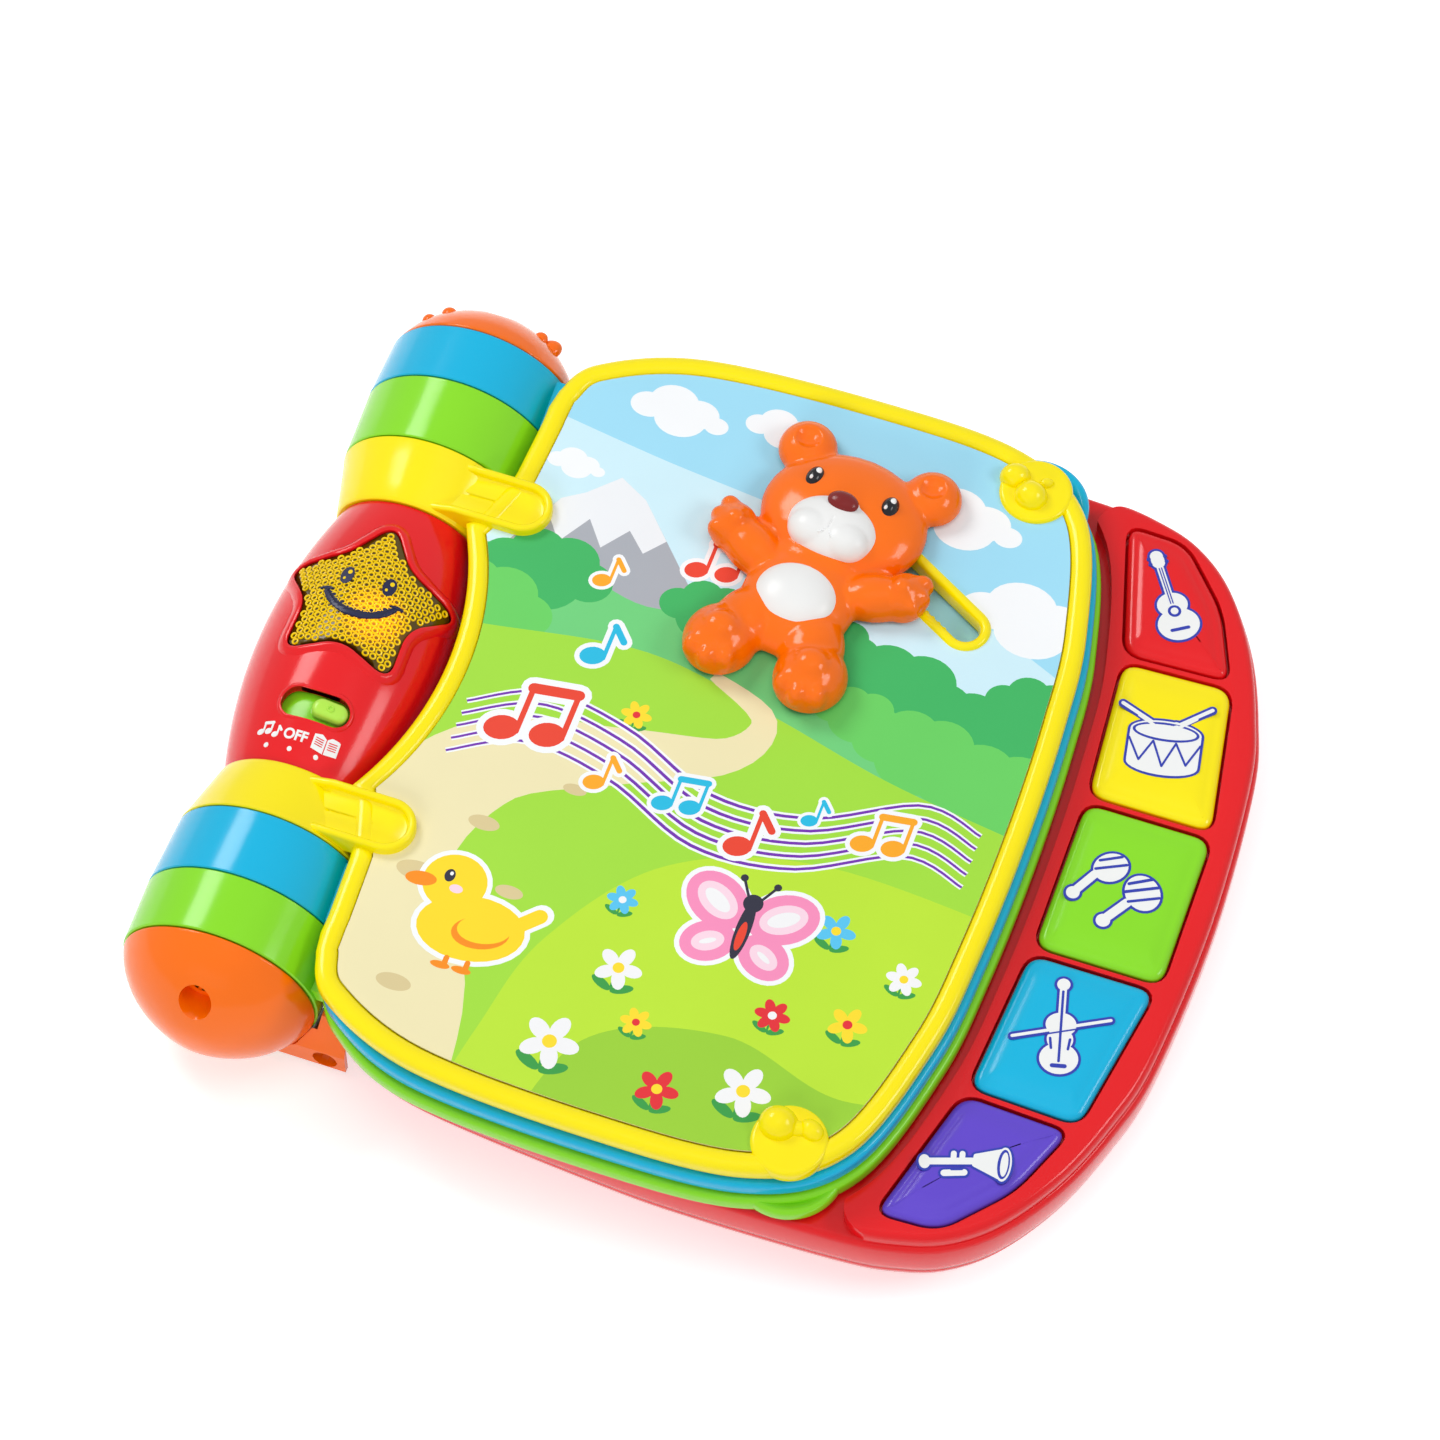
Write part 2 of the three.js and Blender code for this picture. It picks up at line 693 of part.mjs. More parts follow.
const bezelTop = deckTop + bezelHeight;
const flangeTop = bezelTop - 2.2;
const boardTop = deckTop - 6;
const sheetTop = boardTop + cardSeat + sheetThickness;
{
  let bezel = crescent(bezelInset, 2 * pageStep + bezelPageClearance, bezelLeft,
    deckTop + cardSeat, bezelTop);
  for (const set of keySets) {
    bezel = cut(bezel,
      prism(keyOutline(set, keyClearance), deckTop - 1, bezelTop + 1),
      prism(keyOutline(set, keyFlangeWidth + keyClearance), deckTop - 1, flangeTop + 0.2));
  }
  addPart('key_bezel', bezel, 'red');
  for (const set of keySets) {
    const centre = keyCentre(set);
    const cap = pillow(keyOutline(set, 0), flangeTop - keyFlangeThickness - keyRound, bezelTop + keyRise,
      keyRound, keyRound, 2);
    const trimmed = cap.intersect(box(150, 300, -200, 200, flangeTop - keyFlangeThickness, 100));
    const reach = new THREE.Box2().setFromPoints(keyOutline(set, 0));
    const flange = prism(keyOutline(set, keyFlangeWidth), flangeTop - keyFlangeThickness, flangeTop)
      .intersect(box(0, 400, reach.min.y, reach.max.y, 0, 100));
    const stemBottom = sheetTop + domeHeight + keyTravel + 0.2;
    const stem = cylinderZ(centre.x, centre.y, stemBottom, flangeTop, keyStemRadius);
    addPart(`key_${set.name}`, unite(trimmed, flange, stem), set.colour);
  }
  const boardOutline = crescent(bezelInset + 8, 2 * pageStep + bezelPageClearance + 3, bezelLeft + 8,
    boardTop - boardThickness, boardTop + 5).intersect(box(0, 400, -200, 200,
    boardTop - boardThickness, boardTop));
  addPart('key_board', boardOutline, 'board');
  let sheet = crescent(bezelInset + 9, 2 * pageStep + bezelPageClearance + 4, bezelLeft + 9,
    boardTop + cardSeat, boardTop + 6).intersect(box(0, 400, -200, 200, boardTop + cardSeat, sheetTop));
  for (const set of keySets) {
    const centre = keyCentre(set);
    sheet = unite(sheet, cylinderZ(centre.x, centre.y, sheetTop - 0.3, sheetTop + domeHeight, domeRadius));
  }
  addPart('key_dome_sheet', sheet, 'rubber');
}

// A screw along an axis, head first
function screw(axis, place, direction, radius = screwHeadRadius) {
  const head = new THREE.CylinderGeometry(radius, radius, screwHeadHeight, 12);
  head.translate(0, -screwHeadHeight / 2, 0);
  const shank = new THREE.CylinderGeometry(screwShankRadius, screwShankRadius, screwShankLength, 8);
  shank.translate(0, -screwHeadHeight - screwShankLength / 2 + 0.2, 0);
  const turn = new THREE.Quaternion().setFromUnitVectors(new THREE.Vector3(0, 1, 0),
    axis.clone().multiplyScalar(direction));
  const matrix = new THREE.Matrix4().compose(place, turn, new THREE.Vector3(1, 1, 1));
  return toSolid(head.applyMatrix4(matrix)).add(toSolid(shank.applyMatrix4(matrix)));
}

const alongZ = new THREE.Vector3(0, 0, 1);
const alongY = new THREE.Vector3(0, 1, 0);
const baseScrewPlaces = [[0.237, 0.742], [0.237, -0.742], [0.82, 0.66], [0.82, -0.66]]
  .map(([x, y]) => [x * baseRight, y * baseHalfLength]);
const baseScrewHead = 9;

function boss(x, y, z0, z1, radius = screwHeadRadius + 3) {
  return cylinderZ(x, y, z0, z1, radius);
}

function screwHole(x, y, head) {
  const bore = cylinderZ(x, y, -1, head, screwHeadRadius + screwHoleClearance);
  const shank = cylinderZ(x, y, head - 1, head + screwHeadHeight + screwShankLength + 1,
    screwShankRadius + screwSeat);
  return bore.add(shank);
}

{
  const splitLow = partingHeight - seamGap / 2;
  const splitHigh = partingHeight + seamGap / 2;
  const outer = pillow(baseOutline(0), 0, 2 * partingHeight, bottomRoundInset, bottomRoundHeight, 2);
  const inner = pillow(baseOutline(-shellWall), shellWall, 2 * partingHeight, bottomRoundInset,
    bottomRoundHeight, 2);
  const low = box(-50, 400, -200, 200, -1, splitLow);
  const doorCut = box(doorStart, doorEnd, -doorWidth / 2, doorWidth / 2, -1, shellWall + 1);
  const boardPosts = [[-1, -1], [1, -1], [-1, 1], [1, 1]].map(([sx, sy]) => cylinderZ(
    mainBoardX + sx * (mainBoardLength / 2 - 5), mainBoardY + sy * (mainBoardWidth / 2 - 5),
    shellWall - 0.5, mainBoardHeight - cardSeat, postRadius, 12));
  const keyPostShares = [[0.9, 0], [0.855, 0.63], [0.855, -0.63]];
  const keyPosts = keyPostShares.map(([x, y]) => cylinderZ(x * baseRight, y * baseHalfLength,
    shellWall - 0.5, boardTop - boardThickness - cardSeat, postRadius, 12));
  const bosses = baseScrewPlaces.map(([x, y]) => boss(x, y, shellWall - 0.5, splitLow));
  let bottom = cut(outer.intersect(low), inner);
  bottom = unite(cut(bottom, doorCut), ...boardPosts, ...keyPosts, ...bosses);
  const screwHoleEnd = baseScrewHead + screwHeadHeight;
  bottom = cut(bottom, ...baseScrewPlaces.map(([x, y]) => screwHole(x, y, screwHoleEnd)));
  addPart('base_bottom_shell', bottom, 'red');
  baseScrewPlaces.forEach(([x, y], i) => {
    const place = new THREE.Vector3(x, y, baseScrewHead);
    addPart(`base_screw_${i + 1}`, screw(alongZ, place, -1), 'metal');
  });

  const topOuter = pillow(baseOutline(0), splitHigh - 2 * deckRound - 2, deckTop, deckRound, deckRound, 1);
  const topInner = prism(baseOutline(-shellWall), 0, deckTop - shellWall);
  const high = box(-50, 400, -200, 200, splitHigh, deckTop + 1);
  const wells = [crescent(bezelInset + keyWellMargin, 2 * pageStep + bezelPageClearance + keyWellMargin,
    bezelLeft + 6, deckTop - shellWall - 2, deckTop + 2), ...keySets.map((set) => prism(
    keyOutline(set, keyFlangeWidth + 2 * keyClearance), deckTop - shellWall - 2, deckTop + 2))];
  const cardPocket = prism(pageOutline(2 * pageStep, 0, 8), deckTop - 1, deckTop + 5);
  const cardShape = prism(pageOutline(2 * pageStep, 0, 8 + cardGap), deckTop - 1 + cardSeat,
    deckTop - 1 + cardSeat + cardThickness);
  const pocketBacking = prism(baseOutline(-shellWall + 0.3), deckTop - shellWall - 0.8,
    deckTop - shellWall + 0.2)
    .intersect(box(-50, bezelLeft, -200, 200, 0, 100));
  let top = cut(topOuter.intersect(high), topInner);
  top = cut(unite(top, pocketBacking), ...wells, cardPocket);
  addPart('base_top_shell', top, 'red');
  addPart('base_deck_card', cardShape, 'card');

  // Battery door, flush in the underside
  const door = box(doorStart + doorGap, doorEnd - doorGap,
    -doorWidth / 2 + doorGap, doorWidth / 2 - doorGap, 0.2, shellWall);
  const doorBoss = boss(doorScrewX, 0, shellWall - 0.5, 9, doorBossRadius);
  const doorBore = cylinderZ(doorScrewX, 0, -1, 3 + screwHeadHeight, screwHeadRadius + screwHoleClearance);
  const doorShank = cylinderZ(doorScrewX, 0, 2, 12, screwShankRadius + screwSeat);
  addPart('battery_door', cut(door.add(doorBoss), doorBore, doorShank), 'red');
  addPart('battery_door_screw', screw(alongZ, new THREE.Vector3(doorScrewX, 0, 3), -1), 'metal');
}

// Batteries and their contacts on the door
const batteryZ = shellWall + cardSeat + batteryRadius;
[1, -1].forEach((side, i) => {
  const y = side * batteryPitch / 2;
  const start = batteryX - batteryLength / 2;
  const end = batteryX + batteryLength / 2;
  const nub = cylinderX(y, batteryZ, end - 1.5, end, 2.7, 12);
  const can = cylinderX(y, batteryZ, start, end - 1.2, batteryRadius);
  addPart(`battery_${i + 1}`, can.add(nub), 'white');
});
const contactPlaces = [
  [batteryX - contactReach, 'rear'],
  [batteryX + contactReach - contactThickness, 'front'],
];
contactPlaces.forEach(([x, name]) => {
  addPart(`battery_contact_${name}`, box(x, x + contactThickness, -batteryPitch * 0.8, batteryPitch * 0.8,
    shellWall + cardSeat, batteryZ + batteryRadius * 0.7), 'metal');
});

// Speaker and main board
{
  const seat = shellWall + cardSeat;
  const basket = cylinderZ(speakerX, 0, seat, seat + 3, speakerRadius, 28);
  const magnet = cylinderZ(speakerX, 0, seat + 2.5, seat + speakerHeight, speakerRadius * 0.55, 24);
  addPart('speaker', basket.add(magnet), 'metal');
  addPart('main_board', box(mainBoardX - mainBoardLength / 2, mainBoardX + mainBoardLength / 2,
    mainBoardY - mainBoardWidth / 2, mainBoardY + mainBoardWidth / 2, mainBoardHeight,
    mainBoardHeight + boardThickness), 'board');
}

// Barrel housings in the middle of the spine
function barrel(offset, halfLength) {
  const steps = 6;
  const profile = [[0, -halfLength]];
  for (let i = 0; i <= steps; i += 1) {
    const y = -halfLength + 2 * halfLength * i / steps;
    const share = Math.abs(y) / barrelHalfLength;
    profile.push([barrelRadius - (barrelRadius - barrelEndRadius) * share ** 2 + offset, y]);
  }
  profile.push([0, halfLength]);
  return turned(profile, 1, ringSegments + 4);
}

function starOutline(grow) {
  const corners = [];
  for (let i = 0; i < 10; i += 1) {
    const radius = i % 2 === 0 ? starOuter : starInner;
    const angle = Math.PI / 2 + Math.PI * i / 5;
    corners.push(new THREE.Vector2(radius * Math.cos(angle), starY + radius * Math.sin(angle)));
  }
  return grown(roundedPolygon(corners, starCorner, 2), grow);
}

{
  const shell = cut(barrel(0, barrelHalfLength), barrel(-barrelWall, barrelHalfLength - 2.2),
    cylinderY(0, axisHeight, -60, 60, spineTubeRadius + screwSeat, 28));
  const lip = cut(barrel(starLipHeight, barrelHalfLength), barrel(-0.5, barrelHalfLength))
    .intersect(prism(starOutline(starLipWidth), axisHeight + 5, axisHeight + 40));
  const window = prism(starOutline(starClearance), axisHeight + 5, axisHeight + 60);
  const slot = prism(capsule(-switchSlotHalfLength + switchSlotHalfWidth, switchY,
    switchSlotHalfLength - switchSlotHalfWidth, switchY, switchSlotHalfWidth), axisHeight + 8,
    axisHeight + 60);
  const above = box(-40, 40, -60, 60, axisHeight + seamGap / 2, axisHeight + 60);
  const below = box(-40, 40, -60, 60, -10, axisHeight - seamGap / 2);
  addPart('spine_upper_housing', cut(unite(shell, lip), window, slot).intersect(above), 'red');

  const neckOuter = box(spineTubeRadius + 4, baseLeft + 6, -neckHalfLength, neckHalfLength,
    neckBottom, partingHeight - 3);
  const neck = cut(neckOuter, barrel(-barrelWall / 2, barrelHalfLength),
    prism(baseOutline(0.3), -1, 40));
  const lightPosts = [1, -1].map((side) => cylinderZ(0, starY + side * 14, axisHeight - barrelRadius + 2,
    lightBoardHeight - cardSeat, postRadius, 12));
  addPart('spine_lower_housing', unite(shell, neck, ...lightPosts.map((post) => post.intersect(
    barrel(-1, barrelHalfLength)))).intersect(unite(below, lightPosts[0], lightPosts[1])), 'red');

  const lens = cut(barrel(starProud, barrelHalfLength), barrel(starProud - starThickness, barrelHalfLength))
    .intersect(prism(starOutline(0), axisHeight + 5, axisHeight + 60));
  addPart('star_button', lens, 'amber');
  addPart('light_board', box(-14, 14, starY - 18, starY + 18, lightBoardHeight,
    lightBoardHeight + boardThickness), 'board');
  const emitterBottom = lightBoardHeight + boardThickness + cardSeat;
  addPart('light_emitter', cylinderZ(0, starY, emitterBottom, emitterBottom + 5, 2.5, 16), 'white');
}

// Mode switch: a knob on a curved plate that follows the inside of the barrel
{
  const innerRadius = spineRadius(Math.abs(switchY) + 5) - barrelWall - switchPlateGap;
  const knobRadius = spineRadius(switchY) + 0.4;
  const restAngle = -switchTravel / 2 / spineRadius(switchY);
  const plateReach = (switchSlotHalfLength + switchTravel / 2 + 1) / innerRadius;
  const steps = 8;
  const arc = [];
  for (let i = 0; i <= steps; i += 1) {
    const angle = Math.PI / 2 - plateReach + 2 * plateReach * i / steps;
    arc.push([innerRadius, angle]);
  }
  const inner = arc.map(([radius, angle]) => [radius - switchPlateThickness, angle]).reverse();
  const points = [...arc, ...inner].map(([radius, angle]) => new THREE.Vector2(
    radius * Math.cos(angle + restAngle), radius * Math.sin(angle + restAngle)));
  const plateGeometry = new THREE.ExtrudeGeometry(new THREE.Shape(points), {
    depth: 2 * switchSlotHalfWidth + 1, bevelEnabled: false });
  plateGeometry.rotateX(Math.PI / 2);
  plateGeometry.translate(0, switchY + switchSlotHalfWidth + 0.5, axisHeight);
  addPart('switch_slider', toSolid(plateGeometry), 'green');
  const knobGeometry = new THREE.ExtrudeGeometry(new THREE.Shape(capsule(
    -switchKnobHalfLength + switchKnobHalfWidth, 0, switchKnobHalfLength - switchKnobHalfWidth, 0,
    switchKnobHalfWidth)), { depth: knobRadius - innerRadius - 0.4, bevelEnabled: false });
  knobGeometry.translate(0, 0, innerRadius + 0.15);
  knobGeometry.rotateY(-restAngle);
  knobGeometry.translate(0, switchY, axisHeight);
  addPart('switch_knob', toSolid(knobGeometry), 'lightGreen');
}

// Spine tubes, end caps and feet
const footOuterY = capStart + ringGap + footFront;
const capDome = [[9, 18], [16.5, 15], [22.3, 11], [25.4, 7], [27.6, 3]];

// The dome of a cap from its tip to its rim, grown by a distance and cut off below its rim
function capProfile(grow, below) {
  const scale = capLength / 19.8;
  const dome = capDome.map(([radius, y]) => [radius + grow, capStart + y * scale + grow * 0.6]);
  return [[0, capEnd + grow], ...dome, [capRimRadius + grow, capStart], [capRimRadius + grow,
    capStart - below],
    [0, capStart - below]].filter((point, i, all) => i === 0 || point[1] !== all[i - 1][1]
    || point[0] !== all[i - 1][0]);
}

for (const [side, place] of [[1, 'far'], [-1, 'near']]) {
  const tubeStart = barrelHalfLength - 4;
  const tubeEnd = capStart + 3;
  addPart(`spine_tube_${place}`, turned([
    [spineTubeRadius, tubeStart],
    [spineTubeRadius, tubeEnd],
    [spineTubeRadius - spineTubeWall, tubeEnd],
    [spineTubeRadius - spineTubeWall, tubeStart],
    [spineTubeRadius, tubeStart],
  ], side, ringSegments), 'white');

  const capSolid = turned(capProfile(0, 0), side, ringSegments);
  const hollow = turned(capProfile(-capWall, 1), side, ringSegments);
  const socketOuter = turned([[0, tubeEnd + 5], [spineTubeRadius + 2.4, tubeEnd + 5],
    [spineTubeRadius + 2.4, capStart], [0, capStart]], side, ringSegments);
  const socketHole = turned([[0, tubeEnd + 0.3], [spineTubeRadius + screwSeat, tubeEnd + 0.3],
    [spineTubeRadius + screwSeat, capStart - 1], [0, capStart - 1]], side, ringSegments);
  const screwZ = axisHeight + capScrewOffset;
  const headY = side * (capStart + 7.5);
  const screwBoss = cylinderY(0, screwZ, side * capStart, side * capEnd, capScrewRadius + 2.4, 20);
  const screwBore = cylinderY(0, screwZ, headY, side * (capEnd + 5),
    capScrewRadius + screwHoleClearance, 20);
  const shankBore = cylinderY(0, screwZ, side * (capStart - 1), headY + side,
    screwShankRadius + screwSeat, 12);
  const solidCap = unite(cut(capSolid, hollow), unite(socketOuter, screwBoss).intersect(capSolid));
  addPart(`end_cap_${place}`, cut(solidCap, socketHole, screwBore, shankBore), 'orange');
  const capScrewPlace = new THREE.Vector3(0, side * (capStart + 7.5 + screwHeadHeight + cardSeat), screwZ);
  addPart(`cap_screw_${place}`, screw(alongY, capScrewPlace, side, capScrewRadius), 'metal');

  const footEdge = [[capStart - footBack, footBottom], [footOuterY, footBottom],
    [footOuterY, footBottom + footFaceHeight], [capStart - 1.5, footTop - 2], [capStart - footBack,
    footTop]];
  const footSide = new THREE.Shape(footEdge.map(([y, z]) => new THREE.Vector2(side * y, z)));
  const footGeometry = new THREE.ExtrudeGeometry(footSide, { depth: footRight - footLeft,
    bevelEnabled: false });
  footGeometry.rotateX(Math.PI / 2);
  footGeometry.rotateZ(Math.PI / 2);
  footGeometry.translate(footLeft, 0, 0);
  const capSpace = turned(capProfile(screwSeat, 1), side, ringSegments);
  const ringSpace = cylinderY(0, axisHeight, side * (capStart - footBack - 2), side * (capStart + 0.5),
    ringFullRadius + 2 * ringGap, ringSegments);
  const footScrewZ = footBottom + footFaceHeight / 2;
  const footHead = side * (footOuterY - 3 - screwHeadHeight);
  const footBore = cylinderY(footScrewX, footScrewZ, footHead, side * (footOuterY + 2),
    screwHeadRadius + screwHoleClearance);
  const footShank = cylinderY(footScrewX, footScrewZ, side * (capStart - footBack - 2), footHead + side,
    screwShankRadius + screwSeat, 12);
  addPart(`foot_${place}`, cut(toSolid(footGeometry), capSpace, ringSpace, prism(baseOutline(0.3),
    -1, deckTop + 1),
    footBore, footShank), 'orange');
  const footScrewPlace = new THREE.Vector3(footScrewX, side * (footOuterY - 3 + cardSeat), footScrewZ);
  addPart(`foot_screw_${place}`, screw(alongY, footScrewPlace, side), 'metal');
}

// The origin is under the middle of the whole book, on the table
const bounds = new THREE.Box3().setFromObject(book);
const middle = bounds.getCenter(new THREE.Vector3());
book.position.set(-middle.x, -middle.y, -bounds.min.z);

const model = new THREE.Group();
model.add(book);

export default model;
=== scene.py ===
# Musical toy book: roller spine with page rings, board pages, instrument keys, star light and sliding bear.
import json
import math

import bmesh
import bpy
import numpy as np
from mathutils import Matrix, Vector
from mathutils.geometry import delaunay_2d_cdt


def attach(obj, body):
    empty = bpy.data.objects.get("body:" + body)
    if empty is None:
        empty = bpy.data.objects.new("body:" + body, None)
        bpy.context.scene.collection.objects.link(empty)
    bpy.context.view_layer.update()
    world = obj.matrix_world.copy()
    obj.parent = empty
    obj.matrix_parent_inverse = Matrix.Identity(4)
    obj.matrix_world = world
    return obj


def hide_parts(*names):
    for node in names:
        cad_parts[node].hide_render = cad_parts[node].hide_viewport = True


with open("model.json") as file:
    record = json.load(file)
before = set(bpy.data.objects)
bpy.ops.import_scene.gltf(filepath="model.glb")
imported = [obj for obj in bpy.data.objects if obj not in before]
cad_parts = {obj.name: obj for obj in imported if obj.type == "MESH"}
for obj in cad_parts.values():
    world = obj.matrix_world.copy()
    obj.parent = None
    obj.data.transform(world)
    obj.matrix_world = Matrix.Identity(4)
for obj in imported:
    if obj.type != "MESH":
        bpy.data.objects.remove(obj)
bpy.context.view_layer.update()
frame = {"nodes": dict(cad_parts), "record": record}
nodes = frame["nodes"]
print("frame loaded")

mm = 0.001
spineX = -112.2066  # mm from the middle of the row frame to the spine axis

# Camera and studio
studio = {
    "cameraPlace": (0.2556, -0.7401, 1.4238),
    "cameraRight": (0.94404, 0.32983, 0.0),
    "cameraUp": (-0.28561, 0.81748, 0.50016),
    "cameraBack": (0.16497, -0.47217, 0.86594),
    "lens": 142.9,
    "worldStrength": 0.3,
    "floorColour": (0.92, 0.92, 0.92, 1),
    "floorGlow": 0.5,
    "floorReach": 6,
    "lamps": [  # name, place, aimed at, size, power
        ("windowLeft", (-0.75, 0.35, 0.85), (0, 0, 0.03), (0.5, 0.36), 5.2),
        ("windowRight", (0.85, 0.1, 0.75), (0, 0, 0.03), (0.45, 0.3), 3.0),
        ("ceiling", (0.1, -0.1, 1.25), (0, 0, 0.03), (0.9, 0.6), 3.8),
        ("front", (-0.2, -1.1, 0.5), (0, 0, 0.03), (0.8, 0.35), 4.6),
    ],
}


def newObject(name, data):
    added = bpy.data.objects.new(name, data)
    bpy.context.scene.collection.objects.link(added)
    return added


def makeCamera():
    data = bpy.data.cameras.new("photoCamera")
    data.lens, data.sensor_width = studio["lens"], 36
    data.clip_start, data.clip_end = 0.05, 20
    camera = newObject("photoCamera", data)
    turn = Matrix((studio["cameraRight"], studio["cameraUp"], studio["cameraBack"])).transposed()
    camera.matrix_world = Matrix.Translation(studio["cameraPlace"]) @ turn.to_4x4()
    bpy.context.scene.camera = camera


def makeLamps():
    for name, place, aim, size, power in studio["lamps"]:
        data = bpy.data.lights.new(name, "AREA")
        data.shape, data.size, data.size_y, data.energy = "RECTANGLE", size[0], size[1], power
        lamp = newObject(name, data)
        lamp.location = place
        lamp.visible_glossy = name.startswith("window")  # only the windows mirror in the gloss
        lamp.rotation_euler = (Vector(aim) - Vector(place)).to_track_quat("-Z", "Y").to_euler()


def backgroundRays(tree):
    # rays that show the background: straight from the camera, mirrored, or through clear parts
    path = tree.nodes.new("ShaderNodeLightPath")
    seen = path.outputs["Is Camera Ray"]
    for kind in ("Is Glossy Ray", "Is Transmission Ray"):
        either = tree.nodes.new("ShaderNodeMath")
        either.operation = "MAXIMUM"
        tree.links.new(seen, either.inputs[0])
        tree.links.new(path.outputs[kind], either.inputs[1])
        seen = either.outputs[0]
    return seen


def makeWorld():
    world = bpy.data.worlds.new("paleRoom")
    bpy.context.scene.world = world
    world.use_nodes = True
    tree = world.node_tree
    tree.nodes.clear()
    out = tree.nodes.new("ShaderNodeOutputWorld")
    room = tree.nodes.new("ShaderNodeBackground")
    seen = tree.nodes.new("ShaderNodeBackground")
    room.inputs["Color"].default_value = (0.93, 0.95, 1, 1)
    room.inputs["Strength"].default_value = studio["worldStrength"]
    seen.inputs["Color"].default_value = (1, 1, 1, 1)
    mix = tree.nodes.new("ShaderNodeMixShader")
    tree.links.new(backgroundRays(tree), mix.inputs["Fac"])
    tree.links.new(room.outputs[0], mix.inputs[1])
    tree.links.new(seen.outputs[0], mix.inputs[2])
    tree.links.new(mix.outputs[0], out.inputs["Surface"])


def makeFloor():
    mesh = bpy.data.meshes.new("floor")
    reach = studio["floorReach"]
    mesh.from_pydata([(-reach, -reach, 0), (reach, -reach, 0), (reach, reach, 0), (-reach, reach, 0)],
                     [], [(0, 1, 2, 3)])
    floor = newObject("floor", mesh)
    finish = bpy.data.materials.new("paleFloor")
    finish.use_nodes = True
    tree = finish.node_tree
    tree.nodes.clear()
    out = tree.nodes.new("ShaderNodeOutputMaterial")
    matt = tree.nodes.new("ShaderNodeBsdfDiffuse")
    matt.inputs["Color"].default_value = studio["floorColour"]
    glow = tree.nodes.new("ShaderNodeEmission")
    glow.inputs["Strength"].default_value = studio["floorGlow"]
    add = tree.nodes.new("ShaderNodeAddShader")
    seen = tree.nodes.new("ShaderNodeMixShader")
    tree.links.new(matt.outputs[0], add.inputs[0])
    tree.links.new(glow.outputs[0], add.inputs[1])
    tree.links.new(backgroundRays(tree), seen.inputs["Fac"])
    tree.links.new(matt.outputs[0], seen.inputs[1])
    tree.links.new(add.outputs[0], seen.inputs[2])
    tree.links.new(seen.outputs[0], out.inputs["Surface"])
    floor.data.materials.append(finish)


makeCamera()
makeLamps()
makeWorld()
makeFloor()
bpy.context.scene.view_settings.view_transform = "Standard"
print("camera and studio ready")

# Moulded plastics
plastics = {  # colour, roughness
    "yellow": ((1.0, 0.82, 0.0), 0.16),
    "orange": ((1.0, 0.165, 0.0), 0.14),
    "red": ((0.80, 0.006, 0.01), 0.14),
    "blue": ((0.0, 0.46, 0.74), 0.16),
    "green": ((0.25, 0.73, 0.015), 0.16),
    "purple": ((0.12, 0.06, 0.60), 0.16),
    "light_green": ((0.46, 0.82, 0.08), 0.2),
    "amber": ((1.0, 0.42, 0.02), 0.1),
    "card": ((0.45, 0.72, 0.2), 0.5),
    "white": ((0.86, 0.86, 0.84), 0.3),
    "nose": ((0.2, 0.01, 0.01), 0.2),
    "black": ((0.008, 0.008, 0.012), 0.15),
    "board": ((0.02, 0.16, 0.05), 0.5),
    "rubber": ((0.08, 0.08, 0.08), 0.7),
    "metal": ((0.6, 0.6, 0.62), 0.3),
    "inkBlue": ((0.03, 0.05, 0.42), 0.3),
    "inkWhite": ((0.88, 0.89, 0.88), 0.3),
    "inkNavy": ((0.012, 0.016, 0.06), 0.25),
    "amberLens": ((0.09, 0.055, 0.0), 0.12),
    "amberCell": ((0.95, 0.66, 0.0), 0.1),
}


surface = {"cloudScale": 28, "cloudDetail": 3, "darker": 0.95, "lighter": 1.03,
           "grainScale": 900, "grainStrength": 0.03, "grainDepth": 0.0003, "mirroring": 0.3,
           "inkRoughness": 0.42}
# painted glow on the star: middle, reach, strength and colour of an emission patch standing in for light
# through the amber lens
starPaintedGlow = {"middle": (-0.1065, 0.004, 0.0575), "reach": 0.0115, "strength": 0.75, "colour": (1, 0.3, 0.01)}


def plastic(name, colour, roughness):
    material = bpy.data.materials.new(name)
    material.use_nodes = True
    tree = material.node_tree
    shader = tree.nodes["Principled BSDF"]
    place = tree.nodes.new("ShaderNodeTexCoord")
    cloud = tree.nodes.new("ShaderNodeTexNoise")
    cloud.inputs["Scale"].default_value = surface["cloudScale"]
    cloud.inputs["Detail"].default_value = surface["cloudDetail"]
    tree.links.new(place.outputs["Object"], cloud.inputs["Vector"])
    tint = tree.nodes.new("ShaderNodeMix")
    tint.data_type = "RGBA"
    tint.inputs[6].default_value = (*[c * surface["darker"] for c in colour], 1)
    tint.inputs[7].default_value = (*[min(c * surface["lighter"], 1) for c in colour], 1)
    tree.links.new(cloud.outputs["Fac"], tint.inputs[0])
    tree.links.new(tint.outputs[2], shader.inputs["Base Color"])
    grain = tree.nodes.new("ShaderNodeTexNoise")
    grain.inputs["Scale"].default_value = surface["grainScale"]
    tree.links.new(place.outputs["Object"], grain.inputs["Vector"])
    bump = tree.nodes.new("ShaderNodeBump")
    bump.inputs["Strength"].default_value = surface["grainStrength"]
    bump.inputs["Distance"].default_value = surface["grainDepth"]
    tree.links.new(grain.outputs["Fac"], bump.inputs["Height"])
    tree.links.new(bump.outputs["Normal"], shader.inputs["Normal"])
    shader.inputs["Roughness"].default_value = roughness
    shader.inputs["Specular IOR Level"].default_value = surface["mirroring"]
    shader.inputs["Metallic"].default_value = 1 if name == "metal" else 0
    return material


